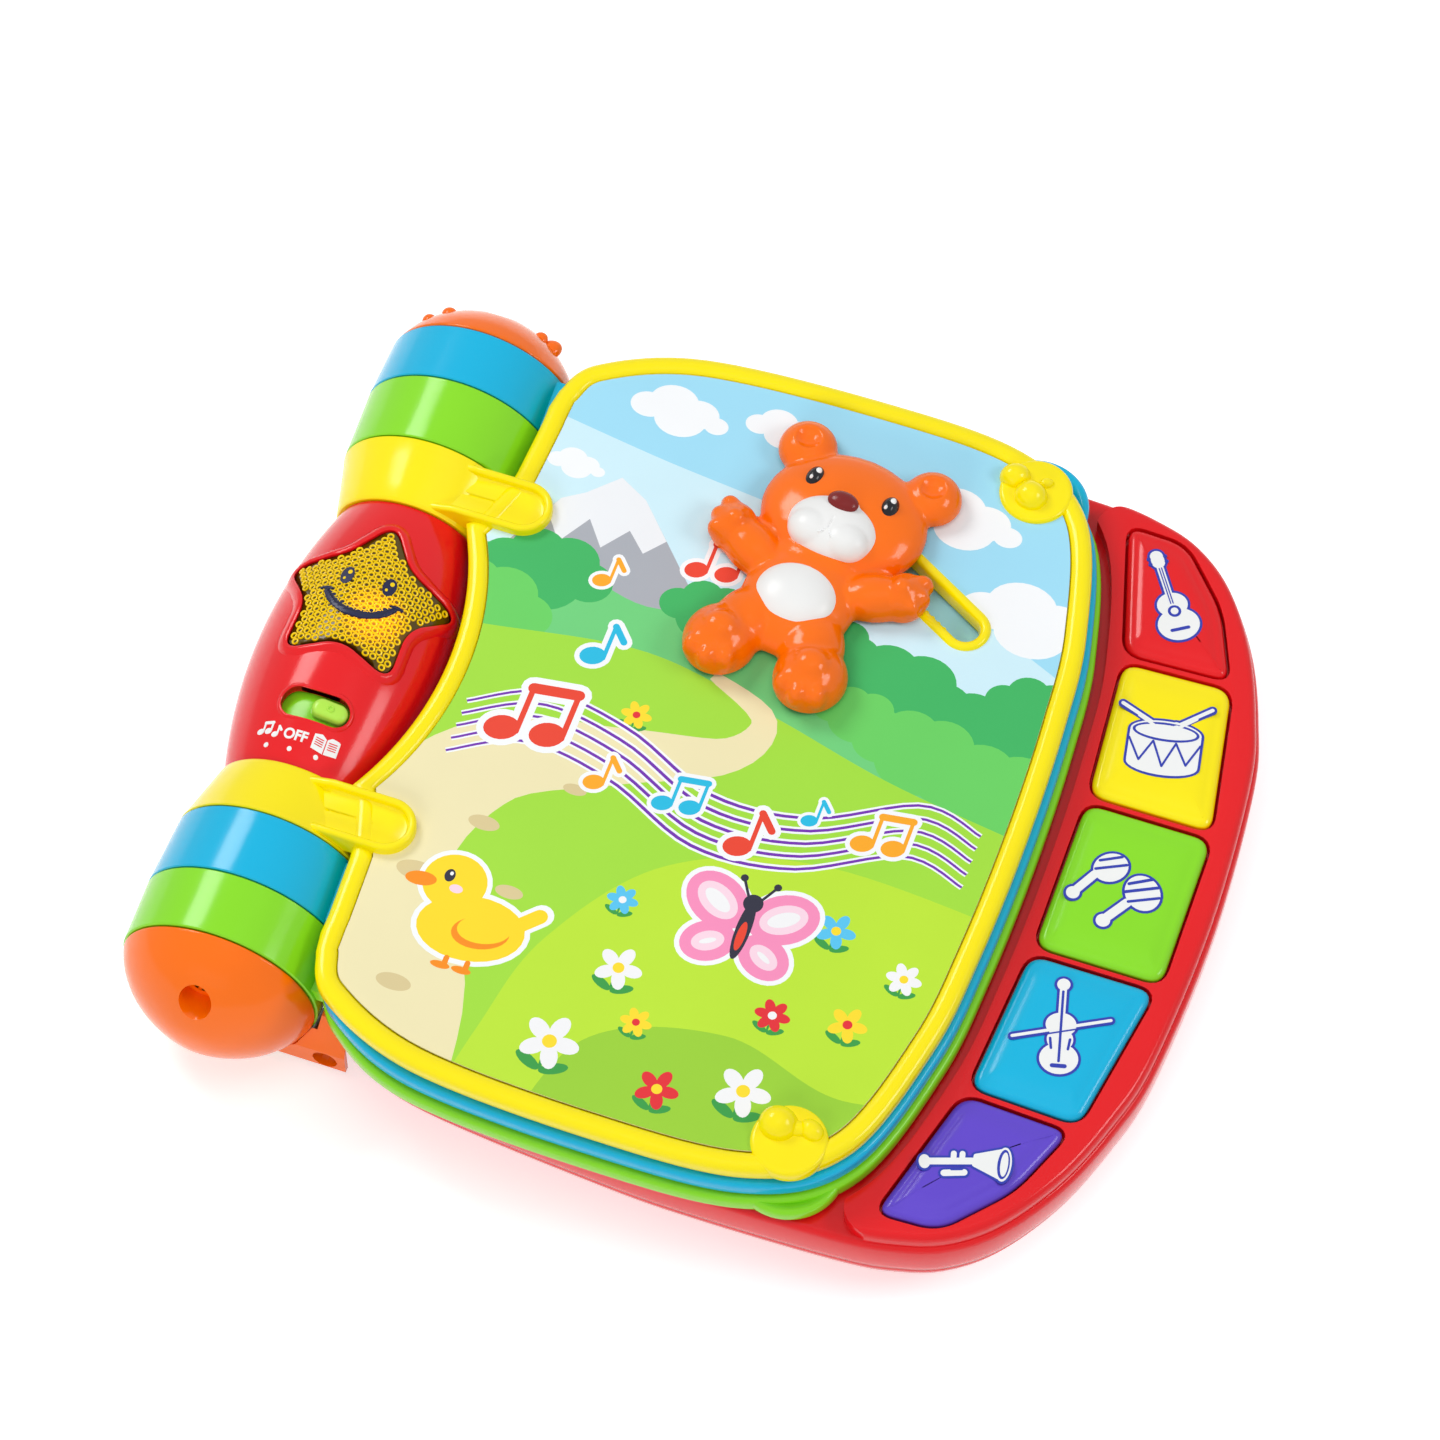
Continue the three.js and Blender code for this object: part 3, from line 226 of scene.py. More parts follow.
def addPaintedGlow(material):
    # painted glow: a warm emission patch that fades outwards from the star's middle, in place of light seen
    # through the amber lens
    tree = material.node_tree
    shader = tree.nodes["Principled BSDF"]
    place = tree.nodes.new("ShaderNodeTexCoord")
    gap = tree.nodes.new("ShaderNodeVectorMath")
    gap.operation = "DISTANCE"
    gap.inputs[1].default_value = starPaintedGlow["middle"]
    fade = tree.nodes.new("ShaderNodeMapRange")
    fade.interpolation_type = "SMOOTHSTEP"
    fade.inputs["From Max"].default_value = starPaintedGlow["reach"]
    fade.inputs["To Min"].default_value = starPaintedGlow["strength"]
    fade.inputs["To Max"].default_value = 0
    tree.links.new(place.outputs["Object"], gap.inputs[0])
    tree.links.new(gap.outputs["Value"], fade.inputs["Value"])
    tree.links.new(fade.outputs["Result"], shader.inputs["Emission Strength"])
    shader.inputs["Emission Color"].default_value = (*starPaintedGlow["colour"], 1)


finishes = {name: plastic(name, colour, rough) for name, (colour, rough) in plastics.items()}
# the star's lens and cells get the painted glow
for lit in ("amberCell", "amberLens"):
    addPaintedGlow(finishes[lit])
inks = {
    "paper": (0.9, 0.9, 0.88), "sky": (0.35, 0.72, 0.9), "skyPale": (0.62, 0.86, 0.94),
    "cloud": (0.92, 0.94, 0.95), "rock": (0.4, 0.42, 0.46), "snow": (0.86, 0.88, 0.9),
    "hillFar": (0.16, 0.62, 0.2), "bushDark": (0.05, 0.45, 0.12), "bush": (0.14, 0.62, 0.12),
    "meadowFar": (0.36, 0.72, 0.05), "meadow": (0.5, 0.78, 0.04), "meadowShade": (0.32, 0.62, 0.04),
    "path": (0.86, 0.78, 0.46), "pathStone": (0.7, 0.58, 0.3), "stalk": (0.04, 0.32, 0.06),
    "petalWhite": (0.9, 0.9, 0.9), "petalRed": (0.75, 0.03, 0.04), "petalYellow": (0.95, 0.72, 0.03),
    "petalBlue": (0.1, 0.55, 0.85), "noteRed": (0.8, 0.06, 0.03), "noteOrange": (0.95, 0.4, 0.02),
    "noteBlue": (0.02, 0.5, 0.75), "noteGreen": (0.2, 0.65, 0.05), "ribbon": (0.17, 0.03, 0.42),
    "pink": (0.92, 0.28, 0.5), "pinkPale": (0.95, 0.68, 0.78), "duck": (0.98, 0.7, 0.02),
    "beak": (0.92, 0.27, 0.01), "dark": (0.02, 0.02, 0.04),
}
prints = {name: plastic(name + "Ink", colour, surface["inkRoughness"]) for name, colour in inks.items()}
slots = {item["node"]: item["material_slot"] for item in frame["record"]["subparts"]}
for name, part in nodes.items():
    if slots.get(name) in finishes:
        for holder in part.material_slots:
            holder.material = finishes[slots[name]]
print("materials assigned")

# Shapes: every point is in millimetres of the book, with the spine's axis at x 0
def rowPoint(p):
    return ((p[0] + spineX) * mm, p[1] * mm, p[2] * mm)


def tidyMesh(mesh, sharpAngle=35):
    work = bmesh.new()
    work.from_mesh(mesh)
    bmesh.ops.remove_doubles(work, verts=work.verts, dist=2e-6)
    bmesh.ops.dissolve_degenerate(work, edges=work.edges, dist=1e-7)
    bmesh.ops.recalc_face_normals(work, faces=work.faces)
    work.to_mesh(mesh)
    work.free()
    mesh.shade_smooth()
    mesh.set_sharp_from_angle(angle=math.radians(sharpAngle))
    mesh.update()


def addMesh(name, points, faces, finish, sharpAngle=35):
    mesh = bpy.data.meshes.new(name)
    mesh.from_pydata([rowPoint(p) for p in points], [], faces)
    mesh.materials.append(finish)
    tidyMesh(mesh, sharpAngle)
    return newObject(name, mesh)


def loft(rings, closeEnds=True, loop=False):
    count = len(rings[0])
    points = [p for ring in rings for p in ring]
    faces = []
    for level in range(len(rings) if loop else len(rings) - 1):
        a, b = level * count, (level + 1) % len(rings) * count
        for i in range(count):
            j = (i + 1) % count
            faces.append((a + i, a + j, b + j, b + i))
    if closeEnds and not loop:
        faces.append(tuple(reversed(range(count))))
        faces.append(tuple(range((len(rings) - 1) * count, len(rings) * count)))
    return points, faces


def lathe(profile, segments=128, closed=False):
    rings = []
    for i in range(segments):
        angle = 2 * math.pi * i / segments
        rings.append([(r * math.cos(angle), y, book["axisHeight"] + r * math.sin(angle))
                      for r, y in profile])
    points, faces = loft(rings, closeEnds=False, loop=True)
    if not closed:  # the seam from the last profile point back to the first lies on the axis
        count = len(profile)
        faces = [f for k, f in enumerate(faces) if k % count != count - 1]
    return points, faces


def joined(*parts):
    points, faces = [], []
    for somePoints, someFaces in parts:
        start = len(points)
        points += list(somePoints)
        faces += [tuple(i + start for i in f) for f in someFaces]
    return points, faces


def splineThrough(points, steps):
    p = np.array(points, float)
    out = []
    for k in range(steps + 1):
        t = (len(p) - 1) * k / steps
        i = min(int(t), len(p) - 2)
        w = t - i
        a, b, c, d = p[max(i - 1, 0)], p[i], p[i + 1], p[min(i + 2, len(p) - 1)]
        v0, v1 = (c - a) / 2, (d - b) / 2
        out.append((2 * b - 2 * c + v0 + v1) * w ** 3 + (3 * c - 3 * b - 2 * v0 - v1) * w ** 2 + v0 * w + b)
    return np.array(out)


def grown(points, distance):
    p = np.array(points, float)
    before, after = p - np.roll(p, 1, 0), np.roll(p, -1, 0) - p
    before /= np.maximum(np.linalg.norm(before, axis=1, keepdims=True), 1e-9)
    after /= np.maximum(np.linalg.norm(after, axis=1, keepdims=True), 1e-9)
    along = before + after
    along /= np.maximum(np.linalg.norm(along, axis=1, keepdims=True), 1e-9)
    bend = np.maximum(0.6, (along * after).sum(1))
    return p + np.stack([along[:, 1], -along[:, 0]], 1) * (distance / bend)[:, None]


def mirrored(points):
    return [(x, -y) for x, y in reversed(list(points))]


def levelled(outline, z):
    return [(x, y, z) for x, y in outline]


def capsule(x0, y0, x1, y1, radius, steps=14):
    angle = math.atan2(y1 - y0, x1 - x0)
    ends = []
    for (x, y), start in (((x1, y1), -0.5), ((x0, y0), 0.5)):
        for i in range(steps + 1):
            turn = angle + math.pi * (start + i / steps)
            ends.append((x + radius * math.cos(turn), y + radius * math.sin(turn)))
    return ends


def ellipse(x, y, rx, ry, turn=0, steps=28):
    c, s = math.cos(math.radians(turn)), math.sin(math.radians(turn))
    flat = [(rx * math.cos(2 * math.pi * i / steps), ry * math.sin(2 * math.pi * i / steps))
            for i in range(steps)]
    return [(x + a * c - b * s, y + a * s + b * c) for a, b in flat]


def roundedPolygon(corners, radius, steps=8):
    out = []
    p = [np.array(c, float) for c in corners]
    for i, corner in enumerate(p):
        before, after = p[i - 1], p[(i + 1) % len(p)]
        start = corner + (before - corner) / np.linalg.norm(before - corner) * radius
        end = corner + (after - corner) / np.linalg.norm(after - corner) * radius
        for k in range(steps + 1):
            t = k / steps
            out.append(tuple((1 - t) ** 2 * start + 2 * t * (1 - t) * corner + t * t * end))
    return out


def cutBy(piece, *cutters, operation="DIFFERENCE"):
    for cutter in cutters:
        step = piece.modifiers.new("cut", "BOOLEAN")
        step.operation, step.solver, step.object = operation, "EXACT", cutter
    settle(piece)
    for cutter in cutters:
        bpy.data.objects.remove(cutter)
    tidyMesh(piece.data)
    return piece


def settle(piece):
    shape = bpy.data.meshes.new_from_object(piece.evaluated_get(bpy.context.evaluated_depsgraph_get()))
    piece.modifiers.clear()
    piece.data = shape


def finished(piece, body, slotName, *replaced):
    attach(piece, body)
    if replaced:
        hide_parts(*replaced)
    return piece


book = {"axisHeight": 29.8, "barrelHalf": 44.6, "barrelRadius": 29.2, "barrelEnd": 22.3,
        "coverRing": 45.0, "innerRing": 64.1, "outerRing": 85.1, "capStart": 103.8, "capEnd": 123.6,
        "pageRight": 198.2, "pageHalf": 123.2, "baseRight": 253.6, "baseHalf": 124.0, "deckTop": 33.6,
        "parting": 19.0, "pageThickness": 5.6, "pageGap": 1.8, "pageBelly": 2,
        "ringRadii": [23.3, 28.2, 29.1, 28.6], "shoulder": [(8, 15), (0.8, 27)], "shoulderEnd": 33,
        "baseLeft": 31, "baseLeftHalf": 90}
bandLengths = {"coverRing": 18.7, "innerRing": 20.6, "outerRing": 18.3}
pageBottoms = {"green": 34.2, "blue": 40.4, "cover": 46.6}
pageGrowth = {"green": 3.2, "blue": 1.6, "cover": 0.0}


def spineRadius(y):
    y = abs(y)
    if y <= book["coverRing"]:
        belly = book["barrelRadius"] - book["barrelEnd"]
        return book["barrelRadius"] - belly * (y / book["barrelHalf"]) ** 2
    stations = [book["coverRing"], book["innerRing"], book["outerRing"],
                book["outerRing"] + bandLengths["outerRing"]]
    return float(np.interp(y, stations, book["ringRadii"]))


def spineEdge(y, lowest):
    belly = book["pageBelly"] * max(0, 1 - (y / book["barrelHalf"]) ** 2)
    return math.sqrt((spineRadius(y) + book["pageGap"] + belly) ** 2 - lowest ** 2)


pageShares = [(1, 0), (0.995, 0.3), (0.979, 0.555), (0.921, 0.85), (0.8, 0.976), (0.585, 1), (0.318, 0.975)]
baseShares = [(1, 0), (0.99, 0.371), (0.9705, 0.544), (0.939, 0.71), (0.894, 0.851), (0.845, 0.934),
              (0.793, 0.972), (0.7295, 0.99), (0.5797, 0.998), (0.4614, 0.991), (0.2484, 0.949),
              (0.1656, 0.887), (0.1321, 0.806)]


def pageOutline(grow, lowest, inset=0.0):
    edge = spineEdge(book["outerRing"], lowest)
    half = [(x * book["pageRight"], y * book["pageHalf"]) for x, y in pageShares]
    half += [(edge + out, book["pageHalf"] - back) for out, back in book["shoulder"]]
    curve = splineThrough(mirrored(half[1:]) + half, 168)
    along = np.gradient(curve, axis=0)
    along /= np.linalg.norm(along, axis=1, keepdims=True)
    free = curve + np.stack([along[:, 1], -along[:, 0]], 1) * (grow - inset)
    top = book["pageHalf"] - book["shoulderEnd"] - inset / 2
    inner = [(spineEdge(y, lowest) + inset, y) for y in np.linspace(top, -top, 61)]
    return np.array(list(free) + inner)


def baseOutline(grow):
    half = [(x * book["baseRight"], y * book["baseHalf"]) for x, y in baseShares]
    free = splineThrough(mirrored(half[1:]) + half, 190)
    edge = [(book["baseLeft"], y) for y in np.linspace(book["baseLeftHalf"], -book["baseLeftHalf"], 24)]
    return grown(list(free) + edge, grow)


def roundedLevels(outlineAt, z0, z1, lowRound, topRound, steps=6):
    levels = []
    for i in range(steps + 1):
        a = math.pi / 2 * i / steps
        levels.append(levelled(outlineAt(-lowRound * (1 - math.sin(a))), z0 + lowRound * (1 - math.cos(a))))
    for i in range(steps + 1):
        a = math.pi / 2 * i / steps
        levels.append(levelled(outlineAt(-topRound * (1 - math.cos(a))), z1 - topRound * (1 - math.sin(a))))
    return levels


# Spine rings: hollow bands on one axis, each with a web and a hub
ring = {"edge": 0.35, "hub": 13.4, "hubOut": 15.6, "wall": 2.6, "webHalf": 1.2}


def ringShape(start, side, length, segments=128):
    end, web, soft, webHalf = start + length, start + length / 2, ring["edge"], ring["webHalf"]
    r0, r1 = spineRadius(start + 0.01), spineRadius(end)
    hub, hubOut, wall = ring["hub"], ring["hubOut"], ring["wall"]
    profile = [(r0 - soft, start), (r0, start + soft)]
    profile += [(spineRadius(y), y) for y in np.linspace(start + soft * 3, end - soft * 3, 5)]
    profile += [(r1, end - soft), (r1 - soft, end), (r1 - wall, end), (r1 - wall, web + webHalf),
                (hubOut, web + webHalf), (hubOut, end), (hub, end), (hub, start), (hubOut, start),
                (hubOut, web - webHalf), (r0 - wall, web - webHalf), (r0 - wall, start)]
    return lathe([(r, side * y) for r, y in profile], segments, closed=True)


# Leaves: a board frame with a rim, rings and a pocket for the printed card on both faces
leaf = {"rimWidth": 7.0, "edgeRound": 1.5, "pocketDepth": 1.2, "coverRim": 6.0, "coverRimCrown": 2.1,
        "tabRadius": 15.5, "tabX": 166.5, "tabY": 108.0, "padRadius": 10.5, "padFoot": 48, "padTop": 53.0}


def leafBoard(name):
    bottom, grow = pageBottoms[name], pageGrowth[name]
    lowest, top = bottom - book["axisHeight"], bottom + book["pageThickness"]
    rim = leaf["coverRim"] if name == "cover" else leaf["rimWidth"] + grow
    soft = leaf["edgeRound"]

    def ringAt(inset, z):
        return levelled(pageOutline(grow, lowest, inset), z)

    levels = [ringAt(rim, bottom + leaf["pocketDepth"]), ringAt(rim, bottom + 0.25),
              ringAt(rim - 0.3, bottom)]
    levels += [ringAt(soft * (1 - math.sin(a)), bottom + soft * (1 - math.cos(a)))
               for a in np.linspace(0, math.pi / 2, 5)]
    if name == "cover":
        half, crown = rim / 2, leaf["coverRimCrown"]
        levels += [ringAt(half - half * math.cos(a), top - 1.7 + crown * math.sin(a))
                   for a in np.linspace(0, math.pi, 13)]
        levels.append(ringAt(rim, top - 2.0))
    else:
        levels += [ringAt(soft * (1 - math.cos(a)), top - soft * (1 - math.sin(a)))
                   for a in np.linspace(0, math.pi / 2, 5)]
        levels += [ringAt(rim - 0.4, top), ringAt(rim, top - 0.3), ringAt(rim, top - leaf["pocketDepth"])]
    return loft(levels)


def ringBridge(start, side, length, bottom, top):
    reach = spineEdge(start, bottom - book["axisHeight"]) + 3
    y0, y1 = sorted((side * (start + 1.2), side * (start + length - 1.2)))
    rows = []
    for z in (bottom + 0.3, top - 0.3):
        near = math.sqrt(max((spineRadius(start) - 2.2) ** 2 - (z - book["axisHeight"]) ** 2, 0))
        rows.append([(near, y0, z), (reach, y0, z), (reach, y1, z), (near, y1, z)])
    return loft(rows)


def discShape(x, y, radius, z0, z1, soft=1.2, pocket=0.0, wall=2.4):
    def at(r, z):
        return levelled(ellipse(x, y, r, r, steps=72), z)
    levels = [at(radius - soft * (1 - math.sin(a)), z0 + soft * (1 - math.cos(a)))
              for a in np.linspace(0, 1.57, 5)]
    levels += [at(radius - soft * (1 - math.cos(a)), z1 - soft * (1 - math.sin(a)))
               for a in np.linspace(0, 1.57, 6)]
    if pocket:
        levels += [at(radius - wall - 0.2, z1 - 0.3), at(radius - wall - 1.2, z1 - pocket)]
    return loft(levels)


# Cover straps: raised trays that fall towards the ring from the kink on
strap = {"middle": 9.35, "start": 3.5, "end": 31.3, "radius": 8.4, "wall": 2.3, "bottom": 46.6, "top": 54.9,
         "floor": 51.9, "kink": 13, "upperFall": 0.30, "lowerFall": 0.15, "rimHalf": 1.15}


def strapShape(side):
    y = side * (book["coverRing"] + strap["middle"])
    radius, wall, half, kink = strap["radius"], strap["wall"], strap["rimHalf"], strap["kink"]
    bottom, top, floor = strap["bottom"], strap["top"], strap["floor"]

    def at(inset, z):
        edge, outline = capsule(strap["start"], y, strap["end"], y, radius - inset, 20), []
        for a, b in zip(edge, edge[1:] + edge[:1]):
            outline.append(a)
            if (a[0] - kink) * (b[0] - kink) < 0:
                outline.append((kink, a[1] + (b[1] - a[1]) * (kink - a[0]) / (b[0] - a[0])))
        fall = strap["upperFall"] if z > floor else strap["lowerFall"]
        return [(px, py, z - fall * max(0, kink - px)) for px, py in outline]
    levels = [at(0.8, bottom), at(0, bottom + 0.8)]
    levels += [at(half - half * math.cos(a), top - half + half * math.sin(a))
               for a in np.linspace(0, math.pi, 11)]
    levels += [at(wall, floor + 0.8), at(wall + 0.5, floor + 0.2), at(wall + 1.3, floor),
               at(radius - 0.5, floor)]
    return loft(levels)


bearSlot = {"start": (118, 83.5), "end": (161.5, 58.5), "halfWidth": 4.2, "rimWidth": 3.1, "foot": 46.8,
            "top": 52.8, "toothPitch": 2.4, "toothDrop": 1.6, "firstTooth": 3}


def slotOutline(width, steps=20):
    return capsule(*bearSlot["start"], *bearSlot["end"], width, steps)


def slotRimShape():
    inner, outer, top = bearSlot["halfWidth"], bearSlot["halfWidth"] + bearSlot["rimWidth"], bearSlot["top"]

    def at(width, z):
        return levelled(slotOutline(width), z)
    half = (outer - inner) / 2
    levels = [at(outer, bearSlot["foot"]), at(outer, top - half)]
    levels += [at(inner + half + half * math.cos(a), top - half + half * math.sin(a))
               for a in np.linspace(0.2, math.pi - 0.2, 9)]
    levels += [at(inner, top - half), at(inner, bearSlot["foot"])]
    return loft(levels, loop=True)


def prismPiece(name, outline, z0, z1):
    points, faces = loft([levelled(outline, z0), levelled(outline, z1)])
    return addMesh(name, points, faces, finishes["red"])


def makeLeaves():
    for name, far, near, tabSide in (("green", "innerRing", "outerRing", -1),
                                     ("blue", "outerRing", "innerRing", 1)):
        bottom, top = pageBottoms[name], pageBottoms[name] + book["pageThickness"]
        shapes = [leafBoard(name), discShape(leaf["tabX"], tabSide * leaf["tabY"], leaf["tabRadius"],
                                             bottom + 0.4, top - 0.4, 1.4, 1.1)]
        for band, side in ((far, 1), (near, -1)):
            shapes.append(ringShape(book[band], side, bandLengths[band]))
            shapes.append(ringBridge(book[band], side, bandLengths[band], bottom, top))
        finished(addMesh(f"{name}PageBoard", *joined(*shapes), finishes[name]), f"{name}_page", name,
                 f"{name}_page_frame")
    board = addMesh("coverBoard", *leafBoard("cover"), finishes["yellow"])
    cutBy(board, prismPiece("slotCutter", slotOutline(bearSlot["halfWidth"] + 1.5), 40, 60))
    finished(board, "cover", "yellow", "cover_frame")
    parts = [slotRimShape()]
    for side in (1, -1):
        parts += [ringShape(book["coverRing"], side, bandLengths["coverRing"]), strapShape(side)]
        parts.append(discShape(leaf["tabX"], side * leaf["tabY"], leaf["padRadius"], leaf["padFoot"],
                               leaf["padTop"], 1.3))
    finished(addMesh("coverRingsAndStraps", *joined(*parts), finishes["yellow"]), "cover", "yellow")


makeLeaves()
print("leaves made")


# Spine: barrel housing with its star window and switch slot, and the end caps
barrel = {"wall": 2.6, "bore": 13.3, "endWall": 2.2, "seam": (29.7, 29.9)}
star = {"y": 9.3, "outer": 26, "inner": 15.5, "corner": 5, "proud": 0.3,
        "cellPitch": 2.15, "cellRadius": 0.98,
        "window": 0.4,  # how far the window reaches past the star, then how far out and up the lip goes
        "lip": ((0.4, -2.2), (0.4, 0.1), (0.65, 0.65), (1.2, 0.95), (1.9, 0.95), (2.6, 0.55), (3.4, 0.0),
                (3.6, -1.0))}
switch = {"y": -27, "slotHalf": 5.7, "slotRadius": 4.3, "restRun": -4.5, "knobHalf": 2.5, "knobRadius": 2.7,
          "slideHalf": 15.5, "slideWidth": 4.8, "slideTop": -2.95, "slideFoot": -4.7,
          "rim": ((0, -2.2), (0, 0.1), (0.2, 0.3), (0.5, 0.4), (0.9, 0.3), (1.2, 0.0), (1.2, -1.0)),
          "knob": ((0, -3.0), (0, -0.2), (-0.1, 0.35), (-0.45, 0.75), (-1.0, 0.95), (-1.7, 1.0),
                   (-2.3, 1.02)),
          "knobRing": ((1.05, 0.8), (1.05, 1.12), (0.9, 1.26), (0.7, 1.26), (0.6, 1.1), (0.6, 0.8))}
endCap = {"dome": ((0, 0), (3, 0.15), (6, 0.65), (9, 1.6), (12, 2.9), (14.5, 4.2), (17, 5.7), (19.5, 7.5),
                   (21.5, 9.2), (23.4, 11.2), (25, 13.2), (26.3, 15.2), (27.2, 17), (27.8, 18.4)),
          "mouth": ((28.1, 0.5), (27.9, 0)), "hollow": ((25.5, 0), (25, 3), (0, 5)),
          "drillRadius": 4.7, "drillDepth": 9.6, "drillHeight": 15.2}


def barrelShape():
    half, bore, endWall = book["barrelHalf"], barrel["bore"], barrel["endWall"]
    outer = [(spineRadius(y), y) for y in np.linspace(-half, half, 33)]
    inner = [(spineRadius(y) - barrel["wall"], y) for y in np.linspace(half - endWall, -half + endWall, 25)]
    return lathe([(bore, -half)] + outer + [(bore, half), (bore, half - endWall)] + inner
                 + [(bore, -half + endWall)], closed=True)


def starOutline(grow):
    corners = []
    for i in range(10):
        radius, angle = (star["outer"], star["inner"])[i % 2], math.pi / 2 + math.pi * i / 5
        corners.append((radius * math.cos(angle), star["y"] + radius * math.sin(angle)))
    return grown(roundedPolygon(corners, star["corner"], 10), grow)


def onBarrel(x, y, height):
    radius = spineRadius(y) + height
    return (x, y, book["axisHeight"] + math.sqrt(max(radius ** 2 - x ** 2, 1)))


def switchSlot(grow):
    return capsule(-switch["slotHalf"], switch["y"], switch["slotHalf"], switch["y"],
                   switch["slotRadius"] + grow, 16)


def makeSpine():
    square = [(-60, -60), (60, -60), (60, 60), (-60, 60)]
    for half, z0, z1 in (("upper", barrel["seam"][1], 70), ("lower", -20, barrel["seam"][0])):
        shell = addMesh(f"barrelShell_{half}", *barrelShape(), finishes["red"])
        cutBy(shell, prismPiece("keep", square, z0, z1), operation="INTERSECT")
        if half == "upper":
            cutBy(shell, prismPiece("window", starOutline(star["window"]), 34, 80),
                  prismPiece("slotHole", switchSlot(0), 40, 80))
        finished(shell, "base", "red", f"spine_{half}_housing")
    lip = [[onBarrel(x, y, rise) for x, y in starOutline(out)] for out, rise in star["lip"]]
    finished(addMesh("starLip", *loft(lip, loop=True), finishes["red"]), "base", "red")
    rim = [[onBarrel(x, y, rise) for x, y in switchSlot(out)] for out, rise in switch["rim"]]
    finished(addMesh("switchRim", *loft(rim, loop=True), finishes["red"]), "base", "red")
    start, end = book["capStart"], book["capEnd"]
    dome = [(r, end - back) for r, back in endCap["dome"]] + [(r, start + out) for r, out in endCap["mouth"]]
    profile = [(max(r, 0), y) for r, y in splineThrough(dome, 48)]
    profile[0] = (0, end)
    profile += [(r, start + out) for r, out in endCap["hollow"]]
    for place, side in (("far", 1), ("near", -1)):
        shell = addMesh(f"endCap_{place}", *lathe([(r, side * y) for r, y in profile]), finishes["orange"])
        floor, radius = side * (start + endCap["drillDepth"]), endCap["drillRadius"]
        points, faces = lathe([(0, floor), (radius, floor), (radius, side * (end + 5)),
                               (0, side * (end + 5))], 48)
        moved = [(x, y, z + endCap["drillHeight"]) for x, y, z in points]
        cutBy(shell, addMesh("drill", moved, faces, finishes["orange"]))
        finished(shell, "base", "orange", f"end_cap_{place}")


makeSpine()
print("spine made")


# Base: two shells, the deck, the key bezel
base = {"wall": 2.4, "bottomRound": 28.0, "bottomInset": 19.0, "deckRound": 2.2, "seamGroove": 0.25,
        "seamHalf": 0.2, "bezelInset": 1.2, "bezelFoot": 31.6, "bezelTop": 38.4, "bezelLeft": 184,
        "bezelCorner": 8, "wellFoot": 33.9}
door = {"middle": 128, "halfLength": 32.4, "halfWidth": 20.4, "gap": 0.6, "corner": 2.5, "thickness": 2.5,
        "screwX": 154, "screwRadius": 3.7, "firstRib": 100, "ribPitch": 2.6, "ribHalf": 8, "ribs": 6}


def doorCorners(gap):
    length, width = door["halfLength"] + gap, door["halfWidth"] + gap
    return [(door["middle"] + length * a, width * b) for a, b in ((-1, -1), (1, -1), (1, 1), (-1, 1))]


def shellPiece(name, levels, close):
    points, faces = loft(levels, closeEnds=False)
    count, last = len(levels[0]), (len(levels) - 1) * len(levels[0])
    faces.append(tuple(range(last, last + count)) if close == "top" else tuple(reversed(range(count))))
    shell = addMesh(name, points, faces, finishes["red"], 50)
    wall = shell.modifiers.new("wall", "SOLIDIFY")
    wall.thickness, wall.offset, wall.use_even_offset = base["wall"] * mm, -1, False
    settle(shell)
    tidyMesh(shell.data, 40)
    return shell


def shellInset(height):
    share = max(0.0, 1 - height / base["bottomRound"])
    return base["bottomInset"] * (1 - math.sqrt(1 - share * share))


def makeBase():
    deck, low = book["deckTop"], book["parting"]
    levels = []
    for height in [*(low * (i / 12) ** 1.7 for i in range(12)), low - 0.7]:
        levels.append(levelled(baseOutline(-shellInset(height)), height))
    groove = baseOutline(-shellInset(low) - base["seamGroove"])
    levels.append(levelled(groove, low - base["seamHalf"]))
    bottom = shellPiece("bottomShell", levels, "low")
    cutBy(bottom, prismPiece("doorCut", doorCorners(door["gap"]), -1, 4))
    finished(bottom, "base", "red", "base_bottom_shell")
    soft = base["deckRound"]
    levels = [levelled(groove, low + base["seamHalf"])]
    levels += [levelled(baseOutline(-shellInset(height)), height)
               for height in (low + 0.7, low + 3, low + 6, low + 9)]
    levels += [levelled(baseOutline(-soft * (1 - math.cos(a))), deck - soft * (1 - math.sin(a)))
               for a in np.linspace(0, math.pi / 2, 7)]
    finished(shellPiece("topShell", levels, "top"), "base", "red", "base_top_shell")


makeBase()
print("base made")


# Keys: a glossy crescent with five pillow keys and their pictograms
cornerKey = [(0.757, 0.927), (0.831, 0.921), (0.894, 0.776), (0.93, 0.595), (0.803, 0.584)]
sideKey = [(0.805, 0.574), (0.935, 0.584), (0.966, 0.207), (0.819, 0.207)]
middleKey = [(0.8195, 0.1975), (0.969, 0.1975), (0.969, -0.1975), (0.8195, -0.1975)]
keyRow = {  # colour, corners as shares of the base, side, turn of the pictogram
    "guitar": ("red", cornerKey, 1, 33),
    "drum": ("yellow", sideKey, 1, 10),
    "maracas": ("green", middleKey, 1, 0),
    "violin": ("blue", sideKey, -1, 14),
    "trumpet": ("purple", cornerKey, -1, 0),
}
keyForm = {"foot": 36.6, "shoulder": 37.6, "top": 40.3, "cornerRadius": 6.0, "gap": 0.5, "wellGap": 0.35,
           "seat": 0.4, "edgeRound": 2.8, "pillow": 0.9, "iconLift": 0.07, "iconEdge": 0.75, "iconFoot": 0.3,
           "pillowLevels": ((0.93, 0.32), (0.86, 0.58), (0.78, 0.78), (0.7, 0.88), (0.62, 0.9),
                            (0.4, 0.9), (0.2, 0.9)),
           "iconSizes": {"guitar": 1.0, "drum": 1.0, "maracas": 1.0, "violin": 1.0, "trumpet": 0.86}}


